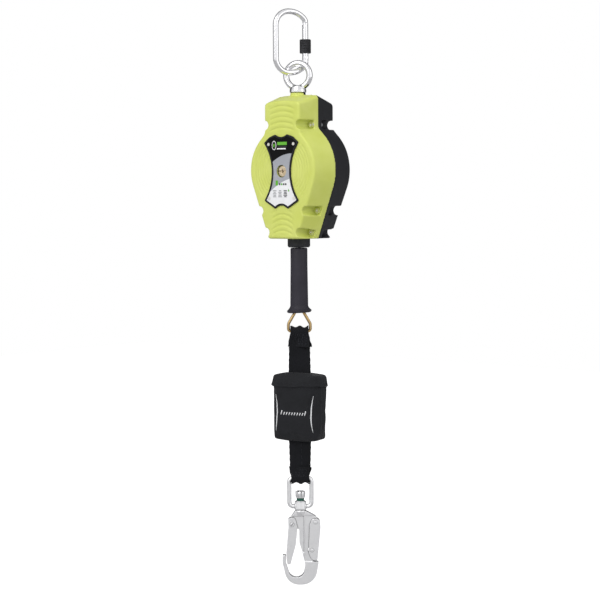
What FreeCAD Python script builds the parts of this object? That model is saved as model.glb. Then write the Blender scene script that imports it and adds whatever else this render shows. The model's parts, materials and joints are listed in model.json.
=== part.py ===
import FreeCAD, Part
import math
import os
import re
import Sketcher
from FreeCAD import Placement, Rotation, Vector

# Self retracting lifeline: an oval screwgate carabiner holds a swivel eye, the eye holds a
# two-shell housing with a sprung cable drum, and the wire rope comes out of the nozzle into a
# grip sleeve, a wire link, a webbing energy absorber and a swivelling double-action snap hook.
# Millimetres, +Z up, -Y to the front of the housing.  The origin is where the anchor bears on
# the inside of the carabiner's top bow; everything hangs on the Z axis below it.

SIZES = {
    # directions that the swivelling pieces face, about Z, in degrees from the housing's front
    "carabiner_yaw": 66, "eye_yaw": 20, "line_yaw": 40, "pouch_yaw": 12,
    # levels on the Z axis
    "drum_level": -258.5, "eye_level": -98.1, "carabiner_level": -42.2,
    # carabiner
    "carabiner_shift_x": -7.6, "carabiner_shift_y": -9.6,
    "carabiner_half_width": 27.5, "carabiner_half_height": 51, "carabiner_rod_radius": 4.7,
    "carabiner_bow": 24, "carabiner_slope": 14, "carabiner_slope_bow": 36,
    "carabiner_gate_bow": 9,
    "hinge_height": -25.5, "gate_radius": 5, "gate_bottom": -29.8, "gate_top": 32.4,
    "nose_end": 33, "rod_end": -32.6, "lug_thickness": 4.4, "gate_slot": 4.9,
    "tenon_thickness": 3.6, "tenon_drop": 9.5, "latch_height": 27, "latch_pin_radius": 1.4,
    "hinge_rivet_radius": 1.9, "sleeve_radius": 9.5, "sleeve_bore": 5.6,
    "sleeve_bottom": -18.4, "sleeve_length": 23.3,
    # swivel eye
    "eye_ring_radius": 20.8, "eye_rod_radius": 5.1, "eye_collar_radius": 13.9, "stem_radius": 6,
    "boss_radius": 13, "boss_top": 131.4, "swivel_nut_radius": 12,
    # housing outlines: at the parting plane and at the front and rear faces
    "shell_radius": 81, "front_radius": 70, "rear_radius": 79, "circle_level": 2,
    "shoulder_angle": 45, "neck_half": 44, "front_neck_half": 38, "rear_neck_half": 43,
    "roof_corner": 126.5, "roof_crown": 129, "face_roof_corner": 113, "face_roof_crown": 118,
    "bottom_half": 43, "front_bottom_half": 31, "rear_bottom_half": 36, "bottom_level": -112.7,
    "front_depth": 43, "rear_depth": 42, "wall": 3, "edge_round": 4,
    "pocket_radius": 7.6, "boss_wall": 2.4, "flange": 9, "screw_radius": 2.5,
    "screw_head_radius": 4.6, "screw_head_height": 3.2, "upper_screw_x": 37.5,
    "upper_screw_z": 77, "lower_screw_x": 50, "lower_screw_z": -66, "foot_screw_x": 36.5,
    "foot_screw_z": -102, "foot_pocket_slope": 38,
    # label
    "label_corner_x": 37.5, "label_screw_x": 27, "label_screw_z": 45,
    "bezel_width": 3.2, "bezel_height": 2.6, "label_thickness": 1.4, "label_hole": 10.5,
    # shaft, drum and brake, along Y
    "shaft_radius": 8, "spindle_radius": 9.4, "spindle_front": -41.6, "plate_inner": 32,
    "plate_thickness": 4, "plate_half_width": 17, "bridge_level": 98, "bridge_thickness": 6,
    "bushing_radius": 10, "drum_core_radius": 36, "drum_flange_radius": 62, "drum_front": -11,
    "drum_flange": 3, "drum_width": 22, "winding_radius": 57, "rope_radius": 2.4,
    "spring_radius": 54, "spring_width": 11, "cup_depth": 13, "cup_wall": 2,
    "cover_thickness": 1,
    "ratchet_radius": 30, "ratchet_bore": 12.3, "ratchet_thickness": 6, "tooth_depth": 4,
    "hub_radius": 12, "lining_radius": 24, "lining_thickness": 1.5, "ratchet_front": -22,
    "pawl_pivot_radius": 40, "pawl_pin_radius": 3, "pawl_thickness": 6,
    # nozzle and line end
    "nozzle_radius": 19, "nozzle_length": 15, "guide_bore": 3.2, "grip_radius": 14.6,
    "grip_bore": 12.4, "grip_length": 97.6, "grip_flange_radius": 20.8, "grip_flange": 12,
    "grip_top": -128.6, "ferrule_radius": 5.2, "ferrule_length": 30, "thimble_radius": 4.2,
    "thimble_level": -214, "link_rod_radius": 2.5, "link_half_width": 18.5,
    "link_apex_level": -215.2, "link_bar_level": -269.5,
    # energy absorber
    "webbing_wide": 38, "webbing_gathered": 26, "webbing_thick": 4.2, "pouch_width": 84,
    "pouch_depth": 40, "pouch_top": -341, "pouch_height": 114, "pouch_round": 9,
    "pouch_wall": 2, "pack_gap": 1.5,
    # hook swivel and snap hook
    "frame_top": -516, "frame_rod_radius": 3.65, "frame_half_width": 18.85,
    "frame_height": 56, "hub_bore": 4.9, "frame_hub_radius": 9.6, "swivel_pin_radius": 4.5,
    "cap_radius": 8.4, "hook_thickness": 13, "lever_thickness": 17, "rivet_radius": 2.4,
}

BOX_TURN = Rotation(Vector(1, 0, 0), 90)      # local Z to -Y
BACK_TURN = Rotation(Vector(1, 0, 0), -90)    # local Z to +Y

doc = FreeCAD.newDocument("self_retracting_lifeline")
sheet = doc.addObject("Spreadsheet::Sheet", "Sizes")
for row, (alias, value) in enumerate(SIZES.items(), start=1):
    sheet.set("A%d" % row, alias)
    sheet.set("B%d" % row, str(value))
    sheet.setAlias("B%d" % row, alias)
doc.recompute()

nodes = []


# ---------------------------------------------------------------- building blocks
def formula(text):
    """An expression on the sheet's cells, from the plain words of their aliases."""
    def cell(match):
        return "Sizes." + match.group() if match.group() in SIZES else match.group()

    return re.sub(r"[a-z][a-z_]+", cell, str(text))


def number(text):
    """The value that the expression has now."""
    if isinstance(text, (int, float)):
        return float(text)
    return float(sheet.evalExpression(formula(text)))


def bind(item, **sizes):
    for name, text in sizes.items():
        item.setExpression(name, formula(text))
    return item


def place(item, position=(0, 0, 0), yaw=0.0, turn=Rotation()):
    spin = Rotation(Vector(0, 0, 1), number(yaw))
    item.Placement = Placement(Vector(*[number(value) for value in position]), spin * turn)
    return item


def node(item, label):
    """Name the finished sub-part and put it on the list that is written out."""
    item.Label = label
    nodes.append(item)
    return item


def plane(body, role):
    return next(item for item in body.Origin.OriginFeatures if item.Role == role)


def sketch_on(body, name, role, offset=Vector()):
    sketch = body.newObject("Sketcher::SketchObject", name)
    sketch.AttachmentSupport = (plane(body, role), [""])
    sketch.MapMode = "FlatFace"
    sketch.AttachmentOffset = Placement(offset, Rotation())
    return sketch


def rounded(corners, closed=True):
    """Lines and tangent arcs through corners given as (x, y, radius)."""
    points = [Vector(x, y, 0) for x, y, _ in corners]
    count = len(corners)
    entries = []
    for index, (x, y, radius) in enumerate(corners):
        here = points[index]
        if radius == 0 or (not closed and index in (0, count - 1)):
            entries.append((here, None, here))
            continue
        before = (points[index - 1] - here).normalize()
        after = (points[(index + 1) % count] - here).normalize()
        half = before.getAngle(after) / 2
        reach = radius / math.tan(half)
        middle = here + (before + after).normalize() * (radius / math.sin(half) - radius)
        entries.append((here + before * reach, middle, here + after * reach))
    edges = []
    for index, (first, middle, last) in enumerate(entries):
        if middle:
            edges.append(Part.Arc(first, middle, last))
        if closed or index < count - 1:
            following = entries[(index + 1) % count][0]
            if (following - last).Length > 1e-6:
                edges.append(Part.LineSegment(last, following))
    return edges


def shrunk(corners, inset):
    """A closed outline's corners moved in by the inset, with their radii changed to match."""
    points = [Vector(x, y, 0) for x, y, _ in corners]
    moved = []
    for index, here in enumerate(points):
        before = (here - points[index - 1]).normalize()
        after = (points[(index + 1) % len(points)] - here).normalize()
        inward = [Vector(-run.y, run.x, 0) for run in (before, after)]
        middle = (inward[0] + inward[1]).normalize()
        spot = here + middle * (inset / middle.dot(inward[0]))
        change = -inset if before.cross(after).z > 0 else inset
        moved.append((spot.x, spot.y, max(corners[index][2] + change, 0.4)))
    return moved


def mirrored(half):
    """A closed outline from its right half, listed from the bottom up."""
    left = [(-x, y, radius) for x, y, radius in reversed(half) if x > 0]
    return half + left


def cylinder(radius, length, position=(0, 0, 0), yaw=0, turn=Rotation()):
    item = doc.addObject("Part::Cylinder", "cylinder")
    bind(item, Radius=radius, Height=length)
    return place(item, position, yaw, turn)


def box(width, depth, tall, position=(0, 0, 0), yaw=0):
    """A block centred on the position in X and Y, standing up from it."""
    item = doc.addObject("Part::Box", "box")
    bind(item, Length=width, Width=depth, Height=tall)
    spin = Rotation(Vector(0, 0, 1), number(yaw))
    corner = spin.multVec(Vector(-number(width) / 2, -number(depth) / 2, 0))
    item.Placement = Placement(Vector(*[number(value) for value in position]) + corner, spin)
    return item


def cut(base, *tools):
    item = doc.addObject("Part::Cut", "cut")
    item.Base = base
    item.Tool = tools[0] if len(tools) == 1 else fuse(*tools)
    return item


def fuse(*shapes):
    item = doc.addObject("Part::MultiFuse", "fuse")
    item.Shapes = list(shapes)
    return item


def common(*shapes):
    item = doc.addObject("Part::MultiCommon", "common")
    item.Shapes = list(shapes)
    return item


def group(*shapes):
    item = doc.addObject("Part::Compound", "group")
    item.Links = list(shapes)
    return item


def turned(name, corners, position=(0, 0, 0), yaw=0, turn=Rotation()):
    """A turned piece: corners are (radius, height) expressions, revolved about local Z."""
    body = doc.addObject("PartDesign::Body", name)
    sketch = sketch_on(body, name + "_section", "XZ_Plane")
    points = [(number(x), number(y)) for x, y in corners]
    count = len(points)
    for index in range(count):
        first = Vector(*points[index], 0)
        last = Vector(*points[(index + 1) % count], 0)
        sketch.addGeometry(Part.LineSegment(first, last), False)
    for index in range(count):
        link = Sketcher.Constraint("Coincident", index, 2, (index + 1) % count, 1)
        sketch.addConstraint(link)
    for index, (x_text, y_text) in enumerate(corners):
        x, y = points[index]
        for kind, value, text, line in (("DistanceX", x, x_text, -2), ("DistanceY", y, y_text, -1)):
            if abs(value) < 1e-9:
                sketch.addConstraint(Sketcher.Constraint("PointOnObject", index, 1, line))
                continue
            held = sketch.addConstraint(Sketcher.Constraint(kind, -1, 1, index, 1, value))
            sketch.setExpression("Constraints[%d]" % held, formula(text))
    spin = body.newObject("PartDesign::Revolution", name + "_turn")
    spin.Profile = sketch
    spin.ReferenceAxis = (sketch, ["V_Axis"])
    spin.Angle = 360
    return place(body, position, yaw, turn)


def padded(name, edges, thickness, position=(0, 0, 0), yaw=0, offset=0.0, middle=True):
    """A plate cut to an outline in the XZ plane, its thickness along Y."""
    body = doc.addObject("PartDesign::Body", name)
    sketch = sketch_on(body, name + "_outline", "XZ_Plane", Vector(0, 0, number(offset)))
    sketch.addGeometry(edges, False)
    pad = body.newObject("PartDesign::Pad", name + "_pad")
    pad.Profile = sketch
    bind(pad, Length=thickness)
    pad.Midplane = middle
    return place(body, position, yaw)


def bent_rod(name, corners, radius, closed, position=(0, 0, 0), yaw=0):
    """A round bar swept along runs and tangent arcs in the XZ plane."""
    path = doc.addObject("Sketcher::SketchObject", name + "_path")
    edges = rounded(corners, closed)
    path.addGeometry(edges, False)
    place(path, position, yaw, BOX_TURN)
    start = edges[0].StartPoint
    run = (edges[0].EndPoint - start).normalize()
    section = doc.addObject("Part::Circle", name + "_section")
    bind(section, Radius=radius)
    aim = Rotation(Vector(0, 0, 1), Vector(run.x, 0, run.y))
    local = Placement(Vector(start.x, 0, start.y), aim)
    place(section, position, yaw)
    section.Placement = section.Placement * local
    sweep = doc.addObject("Part::Sweep", name)
    sweep.Sections = [section]
    sweep.Spine = (path, ["Edge%d" % (index + 1) for index in range(len(edges))])
    sweep.Solid = True
    sweep.Frenet = True
    return sweep


def coil(name, radius, wire, pitch, turns, position, yaw=0, turn=Rotation()):
    """A round-wire spring: a helix swept by its section."""
    helix = Part.makeHelix(pitch, pitch * turns, radius)
    section = Part.Wire(Part.makeCircle(wire, Vector(radius, 0, 0), Vector(0, 1, 0)))
    item = doc.addObject("Part::Feature", name)
    item.Shape = Part.Wire(helix).makePipeShell([section], True, True)
    return place(item, position, yaw, turn)


# ---------------------------------------------------------------- carabiner
CARABINER_AT = ("carabiner_shift_x", "carabiner_shift_y", "carabiner_level")


def carabiner_point(x, z):
    """A point of the carabiner's own plane, in the part's frame."""
    spin = Rotation(Vector(0, 0, 1), number("carabiner_yaw"))
    corner = Vector(*[number(value) for value in CARABINER_AT])
    return tuple(corner + spin.multVec(Vector(number(x), 0, number(z))))


def build_carabiner():
    half, tall = number("carabiner_half_width"), number("carabiner_half_height")
    wide, tight = number("carabiner_bow"), number("carabiner_gate_bow")
    slope, sweep = number("carabiner_slope"), number("carabiner_slope_bow")
    route = [(half, number("nose_end"), 0), (half, tall - slope, tight), (half - slope, tall, sweep),
             (-half, tall, wide), (-half, -tall, wide), (half - slope, -tall, sweep),
             (half, slope - tall, tight), (half, number("rod_end"), 0)]
    rod = bent_rod("carabiner_rod", route, "carabiner_rod_radius", False, CARABINER_AT, "carabiner_yaw")
    lug_edges = rounded([(half - 4.7, number("rod_end") - 4, 0), (half + 4.7, number("rod_end") - 4, 0),
                         (half + 4.7, number("hinge_height") + 4.5, 4.4),
                         (half - 4.7, number("hinge_height") + 4.5, 4.4)])
    lug = padded("carabiner_lug", lug_edges, "lug_thickness", CARABINER_AT, "carabiner_yaw")
    tip = number("nose_end") - number("tenon_drop")
    notch = number("latch_height")
    tenon_edges = rounded([(half - 3.4, number("nose_end") + 3, 0), (half - 3.4, notch + 1.9, 0),
                           (half + 1.9, notch + 1.9, 0), (half + 1.9, notch - 1.9, 0),
                           (half - 3.4, notch - 1.9, 0), (half - 3.4, tip, 0.8),
                           (half + 3.4, tip, 1.5), (half + 3.4, number("nose_end") + 3, 0)])
    tenon = padded("carabiner_tenon", tenon_edges, "tenon_thickness", CARABINER_AT, "carabiner_yaw")
    rivet_at = carabiner_point("carabiner_half_width", "hinge_height")
    hole = cylinder("hinge_rivet_radius + 0.05", 30, rivet_at, "carabiner_yaw", BOX_TURN)
    far_hole = cylinder("hinge_rivet_radius + 0.05", 30, rivet_at, "carabiner_yaw", BACK_TURN)
    node(cut(fuse(rod, lug, tenon), hole, far_hole), "carabiner_body")

    gate_at = carabiner_point("carabiner_half_width", "gate_bottom")
    tube = cylinder("gate_radius", "gate_top - gate_bottom", gate_at, "carabiner_yaw")
    fork = box(20, "gate_slot", "hinge_height - gate_bottom + 6.5", gate_at, "carabiner_yaw")
    slot_at = carabiner_point("carabiner_half_width", "nose_end - tenon_drop - 2")
    slot = box(20, "tenon_thickness + 0.8", 30, slot_at, "carabiner_yaw")
    bore_at = carabiner_point("carabiner_half_width", "hinge_height + 8")
    bore = cylinder(2.2, 22, bore_at, "carabiner_yaw")
    pin_back = Vector(*carabiner_point("carabiner_half_width", "latch_height"))
    across = Rotation(Vector(0, 0, 1), number("carabiner_yaw")).multVec(Vector(0, 1, 0))
    latch_hole = cylinder("latch_pin_radius", 12, tuple(pin_back + across * 6), "carabiner_yaw", BOX_TURN)
    rivet_start = Vector(*rivet_at) + across * (number("gate_radius") + 0.3)
    rivet_hole = cylinder("hinge_rivet_radius", 14, tuple(rivet_start), "carabiner_yaw", BOX_TURN)
    node(cut(tube, fork, slot, bore, latch_hole, rivet_hole), "carabiner_gate")
    node(cylinder("latch_pin_radius", "2 * gate_radius - 1.6", tuple(pin_back + across * 4.2),
                  "carabiner_yaw", BOX_TURN), "gate_latch_pin")
    head = number("gate_radius") + 0.3
    node(turned("rivet", [("0", "0"), ("hinge_rivet_radius", "0"),
                          ("hinge_rivet_radius", "2 * gate_radius + 0.6"),
                          ("0", "2 * gate_radius + 0.6")],
                tuple(Vector(*rivet_at) + across * head), "carabiner_yaw", BOX_TURN), "gate_hinge_rivet")
    node(coil("gate_coil", 1.5, 0.35, 1.5, 9, carabiner_point("carabiner_half_width", "hinge_height + 12"),
              "carabiner_yaw"), "gate_spring")
    node(cylinder(1.9, 3, carabiner_point("carabiner_half_width", "hinge_height + 8.2"),
                  "carabiner_yaw"), "gate_plunger")
    sleeve_at = carabiner_point("carabiner_half_width", "sleeve_bottom")
    node(turned("sleeve", [("sleeve_bore", "0"), ("sleeve_radius - 1", "0"), ("sleeve_radius", "1"),
                           ("sleeve_radius", "sleeve_length - 1"),
                           ("sleeve_radius - 1", "sleeve_length"), ("sleeve_bore", "sleeve_length")],
                sleeve_at, "carabiner_yaw"), "lock_sleeve")


# ---------------------------------------------------------------- swivel eye
def build_eye():
    ring = doc.addObject("Part::Torus", "eye_ring")
    bind(ring, Radius1="eye_ring_radius", Radius2="eye_rod_radius")
    place(ring, (0, 0, "eye_level"), "eye_yaw", BOX_TURN)
    stem = turned("eye_stem", [("0", "-84"), ("stem_radius", "-84"), ("stem_radius", "-28.4"),
                               ("eye_collar_radius", "-28.4"), ("eye_collar_radius", "-24"),
                               ("eye_collar_radius - 1.6", "-19"), ("8.5", "-16.4"), ("0", "-16.4")],
                  (0, 0, "eye_level"), "eye_yaw")
    node(fuse(ring, stem), "swivel_eye")
    node(turned("washer", [("stem_radius + 0.2", "0"), ("boss_radius - 0.4", "0"),
                           ("boss_radius - 0.4", "0.5"), ("stem_radius + 0.2", "0.5")],
                (0, 0, "drum_level + boss_top")), "swivel_washer")
    race = "drum_level + bridge_level - bridge_thickness - 5.2"
    node(turned("thrust_ring", [("stem_radius + 0.3", "0"), ("11", "0"), ("11", "5"),
                                ("stem_radius + 0.3", "5")], (0, 0, race)), "thrust_bearing")
    flats = [(number("swivel_nut_radius") * math.cos(math.radians(60 * side)),
              number("swivel_nut_radius") * math.sin(math.radians(60 * side))) for side in range(6)]
    profile = Part.makePolygon([Vector(x, y, 0) for x, y in flats + flats[:1]])
    nut = doc.addObject("Part::Feature", "nut")
    nut.Shape = Part.Face(profile).extrude(Vector(0, 0, 8.8))
    place(nut, (0, 0, "drum_level + bridge_level - bridge_thickness - 14.2"))
    hole = cylinder("stem_radius", 60, (0, 0, "drum_level + 60"))
    node(cut(nut, hole), "swivel_nut")


# ---------------------------------------------------------------- housing
def housing_outline(radius, neck, foot, roof_corner, roof_crown, inset=0.0):
    """Arched head, round drum case and tapered foot, as one closed outline."""
    centre = number("circle_level")
    swell = number(radius) - inset
    foot_x, foot_z = number(foot) - inset, number("bottom_level") + inset
    neck_x = number(neck) - inset
    reach = math.hypot(foot_x, foot_z - centre)
    lower = math.atan2(foot_z - centre, foot_x) + math.acos(swell / reach)
    upper = math.radians(number("shoulder_angle"))
    apex = swell / math.cos((upper - lower) / 2)
    middle = (upper + lower) / 2
    neck_z = centre + (swell - neck_x * math.cos(upper)) / math.sin(upper)
    half = [(foot_x, foot_z, 4),
            (apex * math.cos(middle), centre + apex * math.sin(middle), swell),
            (neck_x, neck_z, 14), (neck_x, number(roof_corner) - inset, 7),
            (0, number(roof_crown) - inset, 150)]
    return rounded(mirrored(half))


def loft_between(name, first, second, depth):
    """A solid between two outlines, from the parting plane to the given depth along -Y."""
    body = doc.addObject("PartDesign::Body", name)
    near = sketch_on(body, name + "_parting", "XZ_Plane")
    near.addGeometry(first, False)
    far = sketch_on(body, name + "_face", "XZ_Plane", Vector(0, 0, depth))
    far.addGeometry(second, False)
    loft = body.newObject("PartDesign::AdditiveLoft", name + "_loft")
    loft.Profile = near if depth > 0 else far
    loft.Sections = [far] if depth > 0 else [near]
    loft.Ruled = True
    return place(body, (0, 0, "drum_level"))


def screw_places():
    """Each housing screw's x and z, and the slope at which its pocket runs out."""
    for row, slope in (("upper", 0), ("lower", 0), ("foot", number("foot_pocket_slope"))):
        for side in (-1, 1):
            level = number("drum_level") + number(row + "_screw_z")
            yield side * number(row + "_screw_x"), level, slope


def along_y(radius, start, length, x=0.0, z="drum_level"):
    """A cylinder along +Y from the start, or along -Y where the length is negative."""
    turn = BACK_TURN if number(length) > 0 else BOX_TURN
    size = length if number(length) > 0 else "-(%s)" % length
    return cylinder(radius, size, (x, start, z), 0, turn)


def pocket(radius, start, side, x, z, slope):
    """A round-ended channel along Y that runs out, at a slope, through the shell's flank."""
    deep, out = 60, 40
    hand = 1 if x > 0 else -1
    end = along_y(radius, start, "%d * %g" % (side, deep), x, z)
    slab = doc.addObject("Part::Box", "channel")
    bind(slab, Length=out, Width=deep, Height="2 * (%s)" % radius)
    fall = Rotation(Vector(0, 1, 0), hand * slope)
    corner = Vector(0 if hand > 0 else -out, -deep / 2, -number(radius))
    middle = Vector(x, number(start) + side * deep / 2, z)
    slab.Placement = Placement(middle + fall.multVec(corner), fall)
    return fuse(end, slab)


def build_shell(name, side, face_radius, neck, foot, depth):
    """One half of the housing; side is -1 for the front and 1 for the rear."""
    edge = ("roof_corner", "roof_crown")
    face_edge = ("face_roof_corner", "face_roof_crown")
    wall = number("wall")
    reach = -side * number(depth)
    parting = ("shell_radius", "neck_half", "bottom_half")
    outer = loft_between(name + "_outer", housing_outline(*parting, *edge),
                         housing_outline(face_radius, neck, foot, *face_edge), reach)
    doc.recompute()
    loft = outer.Group[-1]
    flat = side * number(depth)
    rim = ["Edge%d" % (index + 1) for index, item in enumerate(loft.Shape.Edges)
           if all(abs(vertex.Point.y - flat) < 0.01 for vertex in item.Vertexes)]
    softened = outer.newObject("PartDesign::Fillet", name + "_rim")
    softened.Base = (loft, rim)
    bind(softened, Radius="edge_round")
    inner = loft_between(name + "_inner",
                         housing_outline(*parting, *edge, wall),
                         housing_outline(face_radius, neck, foot, *face_edge, wall),
                         reach + side * wall)
    posts = [pocket("pocket_radius + boss_wall", 0, side, *spot) for spot in screw_places()]
    bridge_pad = box(2 * number("boss_radius"), 2 * number("boss_radius"), 14,
                     (0, 0, "drum_level + face_roof_crown - 8"))
    hollow = cut(inner, *posts, bridge_pad)
    boss = cylinder("boss_radius", 24, (0, 0, "drum_level + boss_top - 24"))
    half_space = box(60, 60, 60, (0, side * 30, "drum_level + boss_top - 50"))
    half_boss = common(boss, half_space)
    pockets = [pocket("pocket_radius", side * number("flange"), side, *spot)
               for spot in screw_places()]
    holes = [along_y("screw_radius + 0.2", side * -1, "%d * 30" % side, x, z)
             for x, z, _ in screw_places()]
    stem_bore = cylinder("stem_radius + 0.4", 60, (0, 0, "drum_level + 90"))
    mouth = cylinder(9, 30, (0, 0, "drum_level + bottom_level - 10"))
    tools = pockets + holes + [stem_bore, mouth]
    if side < 0:
        tools.append(along_y("label_hole", -60, 40))
    node(cut(fuse(cut(outer, hollow), half_boss), *tools), name)


def build_fasteners():
    screws, nuts = [], []
    flange = number("flange")
    for x, z, _ in screw_places():
        top = -flange - number("screw_head_height")
        head = along_y("screw_head_radius", top, "screw_head_height", x, z)
        shank = along_y("screw_radius", -flange, "2 * flange + 5", x, z)
        drive = along_y(2, top, 1.8, x, z)
        screws.append(cut(fuse(head, shank), drive))
        ring = along_y("screw_head_radius", flange, 4, x, z)
        nuts.append(cut(ring, along_y("screw_radius", 0, 40, x, z)))
    node(group(*screws), "housing_screws")
    node(group(*nuts), "housing_nuts")


# ---------------------------------------------------------------- label
def label_outline(inset):
    """The hourglass of the label: two low peaks at each end and arcs in to the waist."""
    wide = number("label_corner_x")
    half = [(0, -52.5, 18), (13.5, -62.5, 2), (wide, -49, 2), (4.8, -1, 76), (wide, 47.5, 2),
            (26, 56.8, 16), (13, 61, 2), (0, 54.5, 20)]
    return rounded(shrunk(mirrored(half), inset))


def build_label():
    face = number("front_depth")
    rim = padded("bezel", label_outline(0), "bezel_height", (0, 0, "drum_level"), 0, face, False)
    window = padded("bezel_window", label_outline(number("bezel_width")), "bezel_height + 2",
                    (0, 0, "drum_level"), 0, face - 1, False)
    node(cut(rim, window), "label_bezel")
    sheet_plate = padded("plate", label_outline(number("bezel_width") + 0.1), "label_thickness",
                         (0, 0, "drum_level"), 0, face, False)
    centre = along_y("label_hole", -70, 60)
    places = [(side * number("label_screw_x"), number("drum_level") + end * number("label_screw_z"))
              for side in (-1, 1) for end in (-1, 1)]
    holes = [along_y(1.6, -60, 30, x, z) for x, z in places]
    node(cut(sheet_plate, centre, *holes), "label_plate")
    front = -face - number("label_thickness")
    screws = [fuse(along_y(2.6, front - 1.2, 1.2, x, z), along_y(1.5, front, 1.4, x, z))
              for x, z in places]
    node(group(*screws), "label_screws")


# ---------------------------------------------------------------- drum, spring and brake
def ring_y(name, corners, y="0"):
    """A turned piece on the drum's axis: corners are (radius, distance along +Y)."""
    return turned(name, corners, (0, y, "drum_level"), 0, BACK_TURN)


def flat_ring(name, inner, outer, start, thick):
    return ring_y(name, [(inner, "0"), (outer, "0"), (outer, thick), (inner, thick)], start)


def build_frame():
    width, top = number("plate_half_width"), number("bridge_level")
    outline = rounded([(-width, -18, 8), (width, -18, 8), (width, top, 0), (-width, top, 0)])
    deep = "2 * (plate_inner + plate_thickness)"
    solid = padded("frame_block", outline, deep, (0, 0, "drum_level"))
    gap = box(200, "2 * plate_inner", 200, (0, 0, "drum_level + bridge_level - bridge_thickness - 200"))
    hole = cylinder("stem_radius + 0.3", 40, (0, 0, "drum_level + bridge_level - 20"))
    bore = along_y("shaft_radius", -60, 120)
    node(cut(solid, gap, hole, bore), "load_frame")


def build_shaft():
    front = "spindle_front"
    node(ring_y("shaft", [("0", "4"), ("shaft_radius", "4"),
                          ("shaft_radius", "38.6 - spindle_front"), ("0", "38.6 - spindle_front")],
                front), "main_shaft")
    cap = ring_y("cap", [("0", "0"), ("spindle_radius - 0.8", "0"), ("spindle_radius", "0.8"),
                         ("spindle_radius", "4"), ("0", "4")], front)
    slot = box(40, 3, 2.2, (0, "spindle_front + 0.2", "drum_level - 1.1"))
    node(cut(cap, slot), "spindle_end")


def build_drum():
    front, flange, width = "drum_front", "drum_flange", "drum_width"
    body = ring_y("drum_body", [("bushing_radius", "0"), ("drum_flange_radius", "0"),
                                ("drum_flange_radius", flange), ("drum_core_radius", flange),
                                ("drum_core_radius", "drum_flange + drum_width"),
                                ("drum_flange_radius", "drum_flange + drum_width"),
                                ("drum_flange_radius", "2 * drum_flange + drum_width + cup_depth"),
                                ("drum_flange_radius - cup_wall",
                                 "2 * drum_flange + drum_width + cup_depth"),
                                ("drum_flange_radius - cup_wall", "2 * drum_flange + drum_width"),
                                ("bushing_radius", "2 * drum_flange + drum_width")], front)
    holes = [along_y(7, -20, 45, 25 * math.cos(turn), number("drum_level") + 25 * math.sin(turn))
             for turn in [math.radians(60 * step + 30) for step in range(6)]]
    node(cut(body, *holes), "cable_drum")
    bush = [("shaft_radius + 0.04", "0"), ("bushing_radius", "0"), ("bushing_radius", "10"),
            ("shaft_radius + 0.04", "10")]
    node(group(ring_y("bush_front", bush, front),
               ring_y("bush_rear", bush, "drum_front + 2 * drum_flange + drum_width - 10")),
         "drum_bushings")
    node(flat_ring("winding", "drum_core_radius + 0.3", "winding_radius",
                   "drum_front + drum_flange + 0.3", "drum_width - 0.6"), "cable_winding")
    cup_end = "drum_front + 2 * drum_flange + drum_width + cup_depth"
    node(flat_ring("cover", "shaft_radius + 0.5", "drum_flange_radius", cup_end, "cover_thickness"),
         "spring_cover")
    circle = number("drum_flange_radius") - 2.5
    rivets = [along_y(1.6, "%s + cover_thickness" % cup_end, 0.6, circle * math.cos(turn),
                      number("drum_level") + circle * math.sin(turn))
              for turn in [math.radians(90 * step + 45) for step in range(4)]]
    node(group(*rivets), "spring_cover_rivets")


def build_power_spring():
    """A flat steel strip wound from the shaft's slot out to the drum's wall."""
    turns, inner, outer = 7.0, number("shaft_radius") + 0.2, number("spring_radius")
    growth = (outer - inner - 2) / (2 * math.pi * turns)
    thick = 1.4

    def curve(offset):
        points = []
        for step in range(int(turns * 12) + 1):
            angle = step * math.pi / 6
            radius = inner + offset + growth * angle
            points.append(Vector(radius * math.cos(angle), radius * math.sin(angle), 0))
        line = Part.BSplineCurve()
        line.interpolate(points)
        return line.toShape(), points

    inside, inner_points = curve(0.0)
    outside, outer_points = curve(thick)
    ends = [Part.makeLine(inner_points[index], outer_points[index]) for index in (0, -1)]
    strip = Part.Face(Part.Wire(Part.__sortEdges__([inside, ends[1], outside, ends[0]])))
    item = doc.addObject("Part::Feature", "strip")
    item.Shape = strip.extrude(Vector(0, 0, number("spring_width")))
    place(item, (0, "drum_front + 2 * drum_flange + drum_width + 1", "drum_level"), 0, BACK_TURN)
    node(item, "power_spring")


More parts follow.
